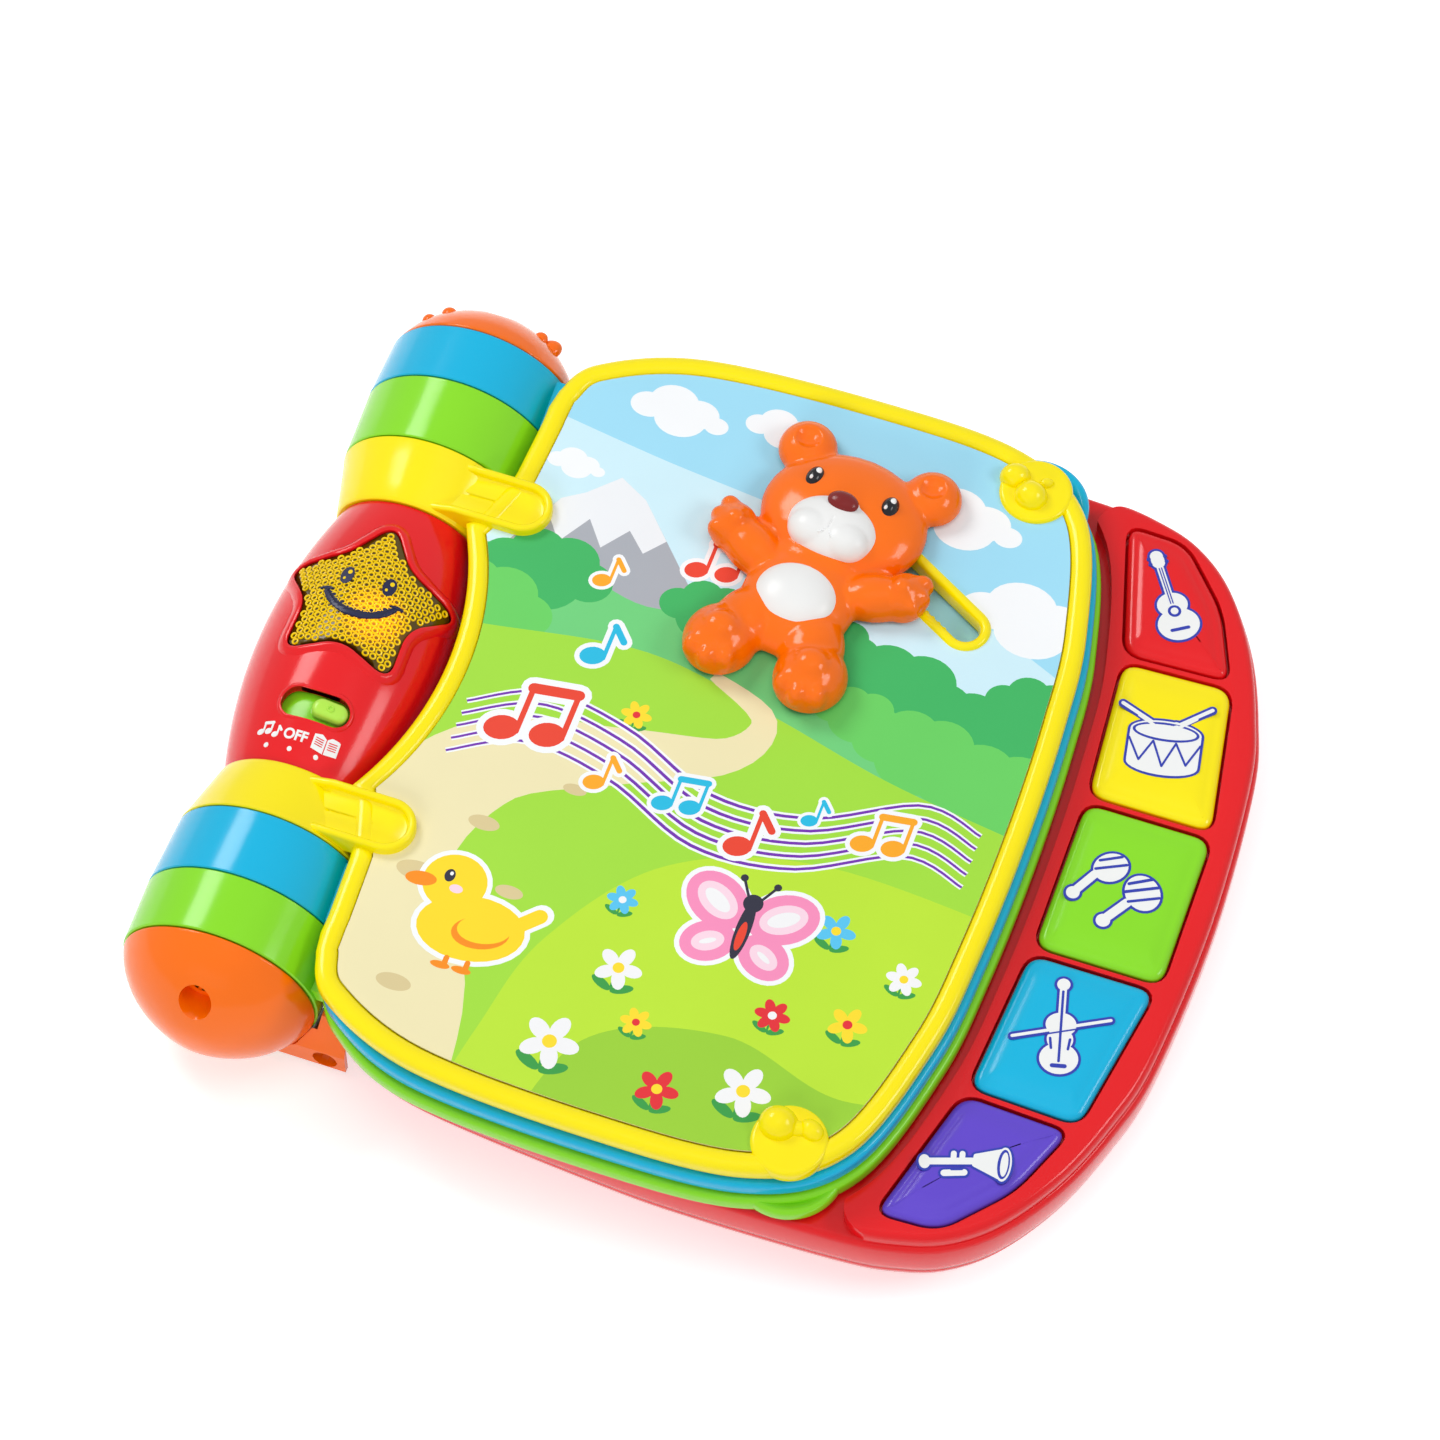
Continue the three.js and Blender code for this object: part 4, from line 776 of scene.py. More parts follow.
def anticlockwise(polygon):
    turning = sum(a[0] * b[1] - b[0] * a[1] for a, b in zip(polygon, polygon[1:] + polygon[:1]))
    return polygon if turning > 0 else polygon[::-1]


def keyOutline(corners, side, grow):
    points = [(x * book["baseRight"], y * book["baseHalf"]) for x, y in corners]
    points = points if side > 0 else mirrored(points)
    rounded = roundedPolygon(points, keyForm["cornerRadius"], 12)
    return grown(anticlockwise(rounded), grow - keyForm["seat"])


def sameCount(points, count):
    p = np.array(list(points) + [points[0]], float)
    run = np.concatenate([[0], np.cumsum(np.linalg.norm(np.diff(p, axis=0), axis=1))])
    at = np.linspace(0, run[-1], count, endpoint=False)
    return np.stack([np.interp(at, run, p[:, 0]), np.interp(at, run, p[:, 1])], 1)


def keyShape(corners, side):
    outline = sameCount(keyOutline(corners, side, -keyForm["gap"]), 120)
    middle = outline.mean(0)
    foot, shoulder, top = keyForm["foot"], keyForm["shoulder"], keyForm["top"]
    soft, rim = keyForm["edgeRound"], top - keyForm["pillow"]
    levels = [levelled(outline, foot), levelled(outline, shoulder)]
    for i in range(1, 9):
        a = math.pi / 2 * i / 8
        levels.append(levelled(grown(outline, -soft * (1 - math.cos(a))),
                               shoulder + (rim - shoulder) * math.sin(a)))
    edge = np.array([(x, y) for x, y, _ in levels[-1]])
    for share, lift in keyForm["pillowLevels"]:
        levels.append(levelled(middle + (edge - middle) * share, rim + lift))
    return loft(levels), middle


def bar(x0, y0, x1, y1, radius):
    return ("bar", (x0, y0, x1, y1, radius))


def dot(x, y, rx, ry=None, turn=0):
    return ("dot", (x, y, rx, ry or rx, turn))


def area(*points):
    return ("area", points)


def markOutline(mark, grow):
    kind, values = mark
    if kind == "bar":
        return capsule(*values[:4], values[4] + grow, 8)
    if kind == "dot":
        x, y, rx, ry, turn = values
        return ellipse(x, y, rx + grow, ry + grow, turn, 30)
    return [tuple(p) for p in grown(roundedPolygon(values, 0.5, 4), grow)]


# Every pictogram: white shapes with a blue edge, blue lines over them, and white over the lines
pictograms = {
    "guitar": ([dot(0, -7, 6.0, 5.2), dot(0, -0.4, 4.4, 3.9), bar(0, 3, 0, 13, 1.0), bar(0, 14, 0, 16, 1.9)],
               [dot(0, -2.6, 1.9), bar(-2.4, -8.6, 2.4, -8.6, 0.5), bar(-0.35, 0, -0.35, 12, 0.16),
                bar(0.35, 0, 0.35, 12, 0.16), dot(-2.4, 15.6, 0.6), dot(2.4, 15.6, 0.6),
                dot(-2.4, 13.8, 0.6), dot(2.4, 13.8, 0.6)],
               [dot(0, -2.6, 1.1)]),
    "drum": ([area((-10, -7), (10, -7), (10, 3.4), (-10, 3.4)), dot(0, -7, 10, 3.4), dot(0, 3.4, 10, 3.6),
              bar(-3, 5.5, -13, 11, 0.55), bar(-2, 5.2, -2.2, 5.2, 1.4), bar(3, 6, 12, 12.5, 0.55),
              dot(2.6, 5.7, 1.4)],
             [bar(-10, 0.4, -6.6, -6.4, 0.3), bar(-6.6, -6.4, -3.2, 0.2, 0.3), bar(-3.2, 0.2, 0, -7.6, 0.3),
              bar(0, -7.6, 3.2, 0.2, 0.3), bar(3.2, 0.2, 6.6, -6.4, 0.3), bar(6.6, -6.4, 10, 0.4, 0.3),
              dot(0, 3.4, 9.4, 3.0)],
             [dot(0, 3.4, 8.6, 2.3), bar(-2.6, 4.6, -8, 7.8, 0.45), bar(3, 5, 8, 8.9, 0.45),
              dot(-2.2, 4.4, 1.2), dot(2.8, 4.8, 1.2)]),
    "maracas": ([dot(-5.4, 5.4, 5.0, 4.3, 45), bar(-9, 2, -12.6, -4.6, 1.2), dot(5.2, 0.6, 5.6, 4.8, 130),
                 bar(2, -3.6, -2.2, -10.2, 1.3), dot(-13, -5.4, 1.9), dot(-2.6, -11, 2.0)],
                [bar(-8.9, 6.6, -3.4, 9.6, 0.4), bar(-9.3, 3.7, -1.4, 7.6, 0.4),
                 bar(0.8, 2.2, 6.6, 5.6, 0.45), bar(0.4, -0.6, 8.8, 3.6, 0.45),
                 bar(2.2, -3.2, 10, 0.6, 0.4)], []),
    "violin": ([dot(0, -7.4, 5.3, 4.7), dot(0, -1.6, 3.6, 3.4), dot(0, 2.9, 4.2, 3.6),
                bar(0, 5, 0, 14, 0.95), dot(0, 15.2, 1.8), bar(-13, -1.6, 13.4, 5.4, 0.45)],
               [bar(0, -8.2, 0, 13, 0.35), bar(-2.3, -4.4, -2.7, -1.4, 0.35),
                bar(2.3, -4.4, 2.7, -1.4, 0.35), bar(-1.7, -9.6, 1.7, -9.6, 0.6),
                bar(-12.6, -2.6, 13.4, 4.3, 0.22)], []),
    "trumpet": ([bar(-13, -4.6, 3, 1.0, 1.15), area((1, -1.4), (11, -3.4), (9, 7.6), (0.4, 2.6)),
                 dot(10.2, 2.2, 2.5, 5.9, 10), bar(-6.4, -6.6, -0.6, -4.4, 1.1),
                 dot(-13.4, -4.8, 1.8, 2.4, 20), bar(-5, -1.6, -5.6, 0.8, 0.9),
                 bar(-2.4, -0.8, -3.0, 1.6, 0.9)],
                [dot(10.2, 2.2, 1.9, 5.1, 10), bar(-4.6, -4.6, -1.6, -3.5, 0.45)],
                [dot(10.4, 2.2, 1.2, 4.2, 10)]),
}


def pictogramPieces(name, middle, turn, z):
    white, blue, over = pictograms[name]
    scale = keyForm["iconSizes"][name]
    c, s = math.cos(math.radians(turn)), math.sin(math.radians(turn))

    def placed(mark, grow, low, high):
        outline = [((x * c - y * s) * scale + middle[0], (x * s + y * c) * scale + middle[1])
                   for x, y in markOutline(mark, grow)]
        return loft([levelled(outline, low), levelled(outline, high)])

    def layer(marks, grow, order):
        # each mark lies a hair above the one before it, so that no two faces share a plane
        return [placed(mark, grow, z - keyForm["iconFoot"] - 0.01 * i,
                       z + order * keyForm["iconLift"] + 0.006 * i)
                for i, mark in enumerate(marks)]
    return layer(white, keyForm["iconEdge"], 1) + layer(blue, 0, 3), layer(white, 0, 2) + layer(over, 0, 4)


def bezelEnds(left, radius, inset):
    # everything left of the bezel, with its two outer corners rounded
    outer = np.mean([abs(y) for x, y in baseOutline(-inset) if left < x < left + 2 * radius])
    corner = [(left + radius + radius * math.cos(a), outer - radius + radius * math.sin(a))
              for a in np.linspace(math.pi, math.pi / 2, 9)]
    half = [(left, 0)] + corner + [(left + radius, 150), (-20, 150)]
    return [(x, -y) for x, y in half[:0:-1]] + half


def softened(piece, width, segments, limit=40):
    step = piece.modifiers.new("soft", "BEVEL")
    step.width, step.segments, step.limit_method = width * mm, segments, "ANGLE"
    step.angle_limit = math.radians(limit)
    settle(piece)
    tidyMesh(piece.data, limit)
    return piece


def makeKeys():
    inset, top = base["bezelInset"], base["bezelTop"]
    outer = roundedLevels(lambda g: baseOutline(g - inset), base["bezelFoot"], top, 0.3, 2.4, 8)
    bezel = addMesh("keyBezel", *loft(outer), finishes["red"], 40)
    clear = [tuple(p) for p in pageOutline(6.2, 0, 0)]
    ends = bezelEnds(base["bezelLeft"], base["bezelCorner"], inset)
    cutters = [prismPiece("pagesCut", clear, 20, 60), prismPiece("leftCut", ends, 20, 60)]
    for name, (_, corners, side, _) in keyRow.items():
        well = sameCount(keyOutline(corners, side, keyForm["wellGap"]), 96)
        cutters.append(prismPiece(f"{name}Well", well, base["wellFoot"], 60))
    cutBy(bezel, *cutters)
    finished(softened(bezel, 0.5, 3), "base", "red", "key_bezel")
    for name, (colour, corners, side, turn) in keyRow.items():
        shape, middle = keyShape(corners, side)
        finished(addMesh(f"key_{name}_cap", *shape, finishes[colour], 40), f"key_{name}", colour,
                 f"key_{name}")
        blue, white = pictogramPieces(name, middle, turn, keyForm["top"])
        finished(addMesh(f"key_{name}_printBlue", *joined(*blue), finishes["inkBlue"]), f"key_{name}",
                 "purple")
        finished(addMesh(f"key_{name}_printWhite", *joined(*white), finishes["inkWhite"]), f"key_{name}",
                 "white")


makeKeys()
print("keys made")


# Printed cards: flat shapes laid over each other inside the card's outline
cards = {"thickness": 0.6, "deckThickness": 0.5, "rimGap": 0.25, "coverDrop": 0.55, "pageDrop": 0.45,
         "backRise": 0.4, "slotOverlap": 0.5, "sleeveHalf": 9.4, "deckGrow": 3.2, "deckInset": 8.3,
         "deckRise": 0.12,
         "shifts": {"green": (0, 20), "blue": (12, 6), "cover": (0, 16), "deck": (8, 0)}}


def printedCard(name, outline, z, layers, holes=(), thickness=cards["thickness"], faceDown=False):
    polygons = [[tuple(map(float, p)) for p in outline]] + [[tuple(map(float, p)) for p in h] for h in holes]
    polygons += [[tuple(map(float, p)) for p in shape] for ink, shape in layers]
    coords, faces = [], []
    for polygon in polygons:
        start = len(coords)
        coords += [Vector(p) for p in anticlockwise(polygon)]
        faces.append(list(range(start, start + len(polygon))))
    flat, _, triangles, _, _, origins = delaunay_2d_cdt(coords, [], faces, 1, 1e-4, True)
    used = list(dict.fromkeys(ink for ink, shape in layers))
    kept, inkSlots = [], []
    for triangle, origin in zip(triangles, origins):
        if 0 not in origin or any(1 <= o <= len(holes) for o in origin):
            continue
        top = max(origin)
        kept.append(list(triangle))
        inkSlots.append(0 if top <= len(holes) else used.index(layers[top - 1 - len(holes)][0]) + 1)
    mesh = bpy.data.meshes.new(name)
    mesh.from_pydata([rowPoint((p.x, p.y, z)) for p in flat], [], kept)
    for item in ["paper"] + used:
        mesh.materials.append(prints[item])
    mesh.polygons.foreach_set("material_index", inkSlots)
    work = bmesh.new()
    work.from_mesh(mesh)
    bmesh.ops.delete(work, geom=[v for v in work.verts if not v.link_faces], context="VERTS")
    bmesh.ops.recalc_face_normals(work, faces=work.faces)
    up = sum(f.normal.z * f.calc_area() for f in work.faces)
    if (up < 0) != faceDown:
        bmesh.ops.reverse_faces(work, faces=work.faces)
    grownFaces = bmesh.ops.extrude_face_region(work, geom=list(work.faces), use_keep_orig=True)
    backs = [g for g in grownFaces["geom"] if isinstance(g, bmesh.types.BMVert)]
    bmesh.ops.translate(work, verts=backs, vec=(0, 0, (thickness if faceDown else -thickness) * mm))
    bmesh.ops.recalc_face_normals(work, faces=work.faces)
    for face in work.faces:
        if abs(face.normal.z) < 0.5 or (face.normal.z > 0) == faceDown:
            face.material_index = 0
    work.to_mesh(mesh)
    work.free()
    return newObject(name, mesh)


def below(points, floor=-140):
    return [(points[-1][0], floor), (points[0][0], floor)][::-1] + list(points)[::-1]


def cloud(x, y, size):
    return [ellipse(x + a * size, y + b * size, r * size, r * size * 0.8) for a, b, r in
            ((-1.1, 0, 0.62), (-0.3, 0.35, 0.85), (0.65, 0.15, 0.7), (1.35, -0.1, 0.42), (0.1, -0.2, 0.9))]


def bush(x, y, size):
    return [ellipse(x + a * size, y + b * size, r * size, r * size * 0.9) for a, b, r in
            ((-1.0, 0.0, 0.62), (-0.35, 0.45, 0.68), (0.45, 0.4, 0.72), (1.05, 0.0, 0.6), (0, -0.2, 1.0))]


def flower(x, y, size, petals=5, turn=0):
    out = []
    for i in range(petals):
        a = 2 * math.pi * i / petals + turn
        out.append(ellipse(x + math.cos(a) * size * 0.62, y + math.sin(a) * size * 0.62, size * 0.5,
                           size * 0.32, math.degrees(a), 18))
    return out


def leafPair(x, y, size):
    return [ellipse(x - size * 0.5, y - size * 0.95, size * 0.55, size * 0.22, -25, 16),
            ellipse(x + size * 0.5, y - size * 1.0, size * 0.55, size * 0.22, 25, 16),
            capsule(x, y - size * 1.1, x, y, size * 0.07, 4)]


def noteShapes(x, y, size, double, grow=0.0):
    def head(dx, dy):
        return ellipse(x + size * dx, y + size * dy, size * 0.34 + grow, size * 0.26 + grow, 20, 22)

    def stroke(x0, y0, x1, y1, radius):
        return capsule(x + size * x0, y + size * y0, x + size * x1, y + size * y1, size * radius + grow, 6)
    shapes = [head(0, 0), stroke(0.28, 0, 0.28, 1, 0.055)]
    if double:
        return shapes + [head(0.85, 0.12), stroke(1.13, 0.12, 1.13, 1.12, 0.055),
                         stroke(0.28, 0.98, 1.13, 1.1, 0.11)]
    return shapes + [stroke(0.28, 1, 0.62, 0.62, 0.09)]


def strip(points, widths):
    p = splineThrough(points, 40)
    w = np.interp(np.linspace(0, 1, len(p)), np.linspace(0, 1, len(widths)), widths)
    along = np.gradient(p, axis=0)
    along /= np.linalg.norm(along, axis=1, keepdims=True)
    side = np.stack([-along[:, 1], along[:, 0]], 1) * w[:, None] / 2
    return [tuple(q) for q in p + side] + [tuple(q) for q in (p - side)[::-1]]


def ridge(points, steps=60):
    return [tuple(p) for p in splineThrough(points, steps)]


def duckShapes(x, y):
    return [("cloud", ellipse(x, y, 16.5, 11.5, 8)), ("cloud", ellipse(x - 9, y + 12, 10.4, 10)),
            ("cloud", capsule(x + 13, y + 6, x + 17, y + 10, 3.4, 8)),
            ("duck", ellipse(x, y, 15, 10, 8)), ("duck", capsule(x + 12, y + 5, x + 16.6, y + 9.6, 2.2, 8)),
            ("duck", ellipse(x - 9, y + 12, 9, 8.6)), ("beak", ellipse(x - 18.2, y + 10.2, 4.4, 2.2, 8)),
            ("beak", ellipse(x + 3, y - 0.4, 8, 5, 14)), ("duck", ellipse(x + 3.6, y + 0.9, 7.4, 4.4, 14)),
            ("dark", ellipse(x - 11, y + 13.6, 1.5, 2)), ("cloud", ellipse(x - 10.7, y + 14.3, 0.5, 0.6)),
            ("pinkPale", ellipse(x - 8, y + 10.2, 1.9, 1.3)),
            ("beak", capsule(x - 3, y - 10.4, x - 3, y - 12.4, 0.8, 6)),
            ("beak", capsule(x + 3, y - 10.2, x + 3, y - 12.2, 0.8, 6)),
            ("beak", ellipse(x - 4, y - 13, 2.8, 1.1)), ("beak", ellipse(x + 2, y - 12.8, 2.8, 1.1))]


def butterflyShapes(x, y):
    layers = []
    for ink, grow in (("cloud", 1.4), ("pink", 0), ("pinkPale", -3.2), ("petalWhite", -5.4)):
        for side in (-1, 1):
            for dx, dy, rx, ry, turn in ((9.5, 6.5, 10, 7.6, 32), (8, -6.2, 7.8, 6.2, -30)):
                if min(rx, ry) + grow > 0.7:
                    layers.append((ink, ellipse(x + side * dx, y + dy, rx + grow, ry + grow, side * turn)))
    for side in (-1, 1):
        layers.append(("dark", capsule(x + side * 0.6, y + 8, x + side * 4.6, y + 15, 0.4, 6)))
        layers.append(("dark", ellipse(x + side * 4.8, y + 15.4, 1.1, 1.1)))
    layers += [("dark", ellipse(x, y, 2.1, 9.4)), ("noteRed", ellipse(x, y - 2, 1.2, 4.6)),
               ("dark", ellipse(x, y + 8.6, 2.8, 2.8))]
    return layers


def ribbonShapes():
    layers = []
    for ink, width in (("cloud", 2.4), ("ribbon", 1.0)):
        for i in range(5):
            run = [(38, -30), (58, -20), (84, -24), (112, -36), (140, -34), (168, -20), (186, -24)]
            layers.append((ink, strip([(x, y + i * 4.2 + 4) for x, y in run],
                                      [0.7 * width, width, 0.7 * width])))
    return layers


def coverScene():
    layers = [("sky", [(0, -140), (210, -140), (210, 140), (0, 140)])]
    layers += [("skyPale", below(ridge([(10, 92), (60, 84), (120, 76), (170, 60), (215, 40)])))]
    for x, y, size in ((62, 100, 8.5), (92, 104, 6.5), (150, 92, 10), (178, 66, 12), (40, 74, 5)):
        layers += [("cloud", c) for c in cloud(x, y, size)]
    layers += [("rock", [(18, 20), (40, 62), (46, 66), (54, 74), (63, 69), (84, 46), (104, 20)])]
    layers += [("snow", [(34, 50), (40, 62), (46, 66), (54, 74), (63, 69), (73, 58), (68, 52), (62, 58),
                         (56, 50), (50, 58), (44, 48), (39, 55)])]
    layers += [("hillFar", below(ridge([(0, 34), (40, 44), (75, 36), (110, 46), (150, 30), (190, 36),
                                        (215, 30)])))]
    for x, y, size in ((44, 38, 12), (92, 40, 9), (150, 33, 13), (176, 28, 11), (188, 40, 9), (128, 42, 8)):
        layers += [("bushDark", c) for c in bush(x, y, size)]
    for x, y, size in ((30, 22, 13), (162, 16, 12), (185, 10, 14), (142, 22, 8)):
        layers += [("bush", c) for c in bush(x, y, size)]
    layers += [("meadowFar", below(ridge([(0, 10), (35, 16), (80, 22), (120, 14), (160, 4), (215, -4)])))]
    layers += [("path", strip([(100, 21), (118, 12), (112, -2), (84, -12), (50, -26), (34, -60),
                               (48, -100), (50, -130)],
                              [3, 7, 11, 18, 28, 36, 44, 50]))]
    layers += [("meadow", below(ridge([(70, -140), (76, -104), (84, -72), (108, -40), (150, -26),
                                       (215, -30)])))]
    layers += [("meadowShade", below(ridge([(92, -140), (104, -98), (140, -84), (176, -92), (215, -80)])))]
    for x, y, rx in ((56, -44, 4.5), (44, -64, 6), (62, -84, 7), (50, -98, 5), (70, -62, 4), (76, -26, 3.4)):
        layers.append(("pathStone", ellipse(x, y, rx, rx * 0.5)))
    for x, y, size, ink, heart in ((96, -101, 7.5, "petalWhite", "petalYellow"),
                                   (128, -105, 5.5, "petalRed", "petalYellow"),
                                   (150, -98, 7, "petalWhite", "petalYellow"),
                                   (116, -88, 4, "petalYellow", "petalRed"),
                                   (24, 5, 5, "petalBlue", "petalYellow"),
                                   (170, -70, 5, "petalYellow", "petalRed"),
                                   (180, -52, 4.5, "petalWhite", "petalYellow"),
                                   (150, -74, 4.5, "petalRed", "petalWhite"),
                                   (106, -74, 6, "petalWhite", "petalYellow"),
                                   (100, -54, 4, "petalBlue", "petalWhite"),
                                   (84, 2, 4, "petalYellow", "petalRed"),
                                   (158, -44, 5, "petalBlue", "petalYellow")):
        layers += [("stalk", s) for s in leafPair(x, y, size)]
        layers += [(ink, petal) for petal in flower(x, y, size, 5 if size > 4.5 else 6)]
        layers.append((heart, ellipse(x, y, size * 0.27, size * 0.27)))
    layers += ribbonShapes() + duckShapes(64, -76) + butterflyShapes(134, -52)
    for x, y, size, ink, double in ((50, -14, 15, "noteRed", True), (84, 52, 10, "noteRed", True),
                                    (80, -22, 9, "noteOrange", False), (156, -16, 10, "noteOrange", True),
                                    (140, -14, 7, "noteBlue", False), (100, -22, 9, "noteBlue", True),
                                    (104, 66, 8, "noteGreen", False), (66, 16, 11, "noteBlue", False),
                                    (124, -28, 12, "noteRed", False), (60, 40, 8, "noteOrange", False)):
        layers += [("cloud", s) for s in noteShapes(x, y, size, double, size * 0.13)]
        layers += [(ink, s) for s in noteShapes(x, y, size, double)]
    return layers


def meadowScene(shift=0, tint="meadow"):
    layers = [("sky", [(0, -140), (215, -140), (215, 140), (0, 140)])]
    for x, y, size in ((60 + shift, 88, 9), (120 - shift, 78, 11), (165, 92, 7)):
        layers += [("cloud", c) for c in cloud(x, y, size)]
    layers += [("hillFar", below(ridge([(0, 30), (50, 48 - shift), (110, 30), (160, 46), (215, 28)])))]
    for x, y, size in ((40, 26, 14), (150 - shift, 24, 12), (180, 20, 14)):
        layers += [("bushDark", c) for c in bush(x, y, size)]
    layers += [(tint, below(ridge([(0, 6), (60, 16), (120, 4), (170, 14), (215, 2)])))]
    layers += [("meadowShade", below(ridge([(0, -70), (70, -56), (140, -76), (215, -60)])))]
    for i in range(11):
        x, y, size = 34 + (i * 47 + shift * 5) % 150, -18 - (i * 31) % 86, 4 + (i * 3) % 4
        layers += [("stalk", s) for s in leafPair(x, y, size)]
        layers += [(("petalWhite", "petalRed", "petalYellow", "petalBlue")[i % 4], p)
                   for p in flower(x, y, size)]
        layers.append(("petalYellow" if i % 4 != 2 else "petalRed", ellipse(x, y, size * 0.27, size * 0.27)))
    for i in range(4):
        x, y, size = 50 + i * 36 + shift, 56 - (i % 2) * 22, 12 - i
        layers += [("cloud", s) for s in noteShapes(x, y, size, i % 2 == 0, size * 0.13)]
        layers += [(("noteRed", "noteBlue", "noteOrange", "noteGreen")[i], s)
                   for s in noteShapes(x, y, size, i % 2 == 0)]
    return layers


def makeCards():
    for name in ("green", "blue", "cover"):
        bottom, grow = pageBottoms[name], pageGrowth[name]
        lowest, top = bottom - book["axisHeight"], bottom + book["pageThickness"]
        isCover = name == "cover"
        rim = leaf["coverRim"] if isCover else leaf["rimWidth"] + grow
        outline = pageOutline(grow, lowest, rim + cards["rimGap"])
        body = "cover" if isCover else f"{name}_page"
        frontShift, backShift = cards["shifts"][name]
        front = coverScene() if isCover else meadowScene(frontShift)
        slotHole = [slotOutline(bearSlot["halfWidth"] + bearSlot["rimWidth"] - cards["slotOverlap"], 16)]
        sleeveHole = [slotOutline(cards["sleeveHalf"], 16)]
        face = top - (cards["coverDrop"] if isCover else cards["pageDrop"])
        finished(printedCard(f"{name}FrontPrint", outline, face, front, slotHole if isCover else ()),
                 body, "card", f"{body}_front_card")
        back = printedCard(f"{name}BackPrint", outline, bottom + cards["backRise"],
                           meadowScene(backShift, "meadowFar"), sleeveHole if isCover else (), faceDown=True)
        finished(back, body, "card", f"{body}_back_card")
    deck = printedCard("deckPrint", pageOutline(cards["deckGrow"], 0, cards["deckInset"]),
                       book["deckTop"] + cards["deckRise"], meadowScene(cards["shifts"]["deck"][0]),
                       thickness=cards["deckThickness"])
    finished(deck, "base", "card", "base_deck_card")


makeCards()
print("cards made")


# Repeated parts: Geometry Nodes put copies of one part on points with a facing and a turn
def copiesTree():
    tree = bpy.data.node_groups.new("placeCopies", "GeometryNodeTree")
    sockets = {}
    for label, kind in (("Points", "NodeSocketGeometry"), ("Part", "NodeSocketObject"),
                        ("Size", "NodeSocketFloat"), ("Size spread", "NodeSocketFloat"),
                        ("Finish", "NodeSocketMaterial")):
        sockets[label] = tree.interface.new_socket(label, in_out="INPUT", socket_type=kind).identifier
    tree.interface.new_socket("Copies", in_out="OUTPUT", socket_type="NodeSocketGeometry")
    start, end = tree.nodes.new("NodeGroupInput"), tree.nodes.new("NodeGroupOutput")
    part = tree.nodes.new("GeometryNodeObjectInfo")
    facing, turn = (tree.nodes.new("GeometryNodeInputNamedAttribute") for i in range(2))
    facing.data_type, turn.data_type = "FLOAT_VECTOR", "FLOAT"
    facing.inputs["Name"].default_value, turn.inputs["Name"].default_value = "facing", "turn"
    spin = tree.nodes.new("ShaderNodeCombineXYZ")
    spun = tree.nodes.new("FunctionNodeRotateEuler")
    spun.rotation_type = "EULER"
    spun.space = "LOCAL"
    aim = tree.nodes.new("FunctionNodeAlignEulerToVector")
    aim.axis = "Z"
    spread = tree.nodes.new("FunctionNodeRandomValue")
    spread.inputs["Seed"].default_value = 7
    low, high = tree.nodes.new("ShaderNodeMath"), tree.nodes.new("ShaderNodeMath")
    low.operation, high.operation = "SUBTRACT", "ADD"
    copies = tree.nodes.new("GeometryNodeInstanceOnPoints")
    real = tree.nodes.new("GeometryNodeRealizeInstances")
    finish = tree.nodes.new("GeometryNodeSetMaterial")
    for source, output, target, entry in (
            (start, "Part", part, "Object"), (start, "Size", low, 0), (start, "Size spread", low, 1),
            (start, "Size", high, 0), (start, "Size spread", high, 1), (low, 0, spread, 2),
            (high, 0, spread, 3), (facing, "Attribute", aim, "Vector"), (turn, "Attribute", spin, "Z"),
            (aim, "Rotation", spun, "Rotation"),
            (spin, "Vector", spun, "Rotate By"), (start, "Points", copies, "Points"),
            (part, "Geometry", copies, "Instance"), (spun, "Rotation", copies, "Rotation"),
            (spread, 1, copies, "Scale"), (copies, "Instances", real, "Geometry"),
            (real, "Geometry", finish, "Geometry"), (start, "Finish", finish, "Material"),
            (finish, "Geometry", end, "Copies")):
        tree.links.new(source.outputs[output], target.inputs[entry])
    return tree, sockets


copiesGroup, copiesSockets = copiesTree()


def copiesOf(name, part, places, finish, size=1.0, spread=0.0):
    mesh = bpy.data.meshes.new(name)
    mesh.from_pydata([rowPoint(place) for place, facing, turn in places], [], [])
    mesh.attributes.new("facing", "FLOAT_VECTOR", "POINT")
    mesh.attributes.new("turn", "FLOAT", "POINT")
    for i, (place, facing, turn) in enumerate(places):
        mesh.attributes["facing"].data[i].vector = facing
        mesh.attributes["turn"].data[i].value = turn
    piece = newObject(name, mesh)
    step = piece.modifiers.new("copies", "NODES")
    step.node_group = copiesGroup
    for label, value in (("Part", part), ("Size", size), ("Size spread", spread), ("Finish", finish)):
        step[copiesSockets[label]] = value
    settle(piece)
    piece.data.shade_smooth()
    piece.data.set_sharp_from_angle(angle=math.radians(35))
    return piece


def templatePart(name, points, faces):
    mesh = bpy.data.meshes.new(name)
    mesh.from_pydata([tuple(c * mm for c in p) for p in points], [], faces)
    tidyMesh(mesh)
    return newObject(name, mesh)


def turnedTemplate(name, profile, segments, loop=False):
    rings = [[(r * math.cos(2 * math.pi * i / segments), r * math.sin(2 * math.pi * i / segments), z)
              for i in range(segments)] for r, z in profile]
    return templatePart(name, *loft(rings, loop=loop))


def lump(x, y, z, rx, ry, rz, turn=0.0, rows=18, columns=32):
    c, s, rings = math.cos(math.radians(turn)), math.sin(math.radians(turn)), []
    for i in range(1, rows):
        t = -math.pi / 2 + math.pi * i / rows
        flat = [(rx * math.cos(t) * math.cos(b), ry * math.cos(t) * math.sin(b))
                for b in np.linspace(0, 2 * math.pi, columns, endpoint=False)]
        rings.append([(x + u * c - v * s, y + u * s + v * c, z + rz * math.sin(t)) for u, v in flat])
    return loft(rings)


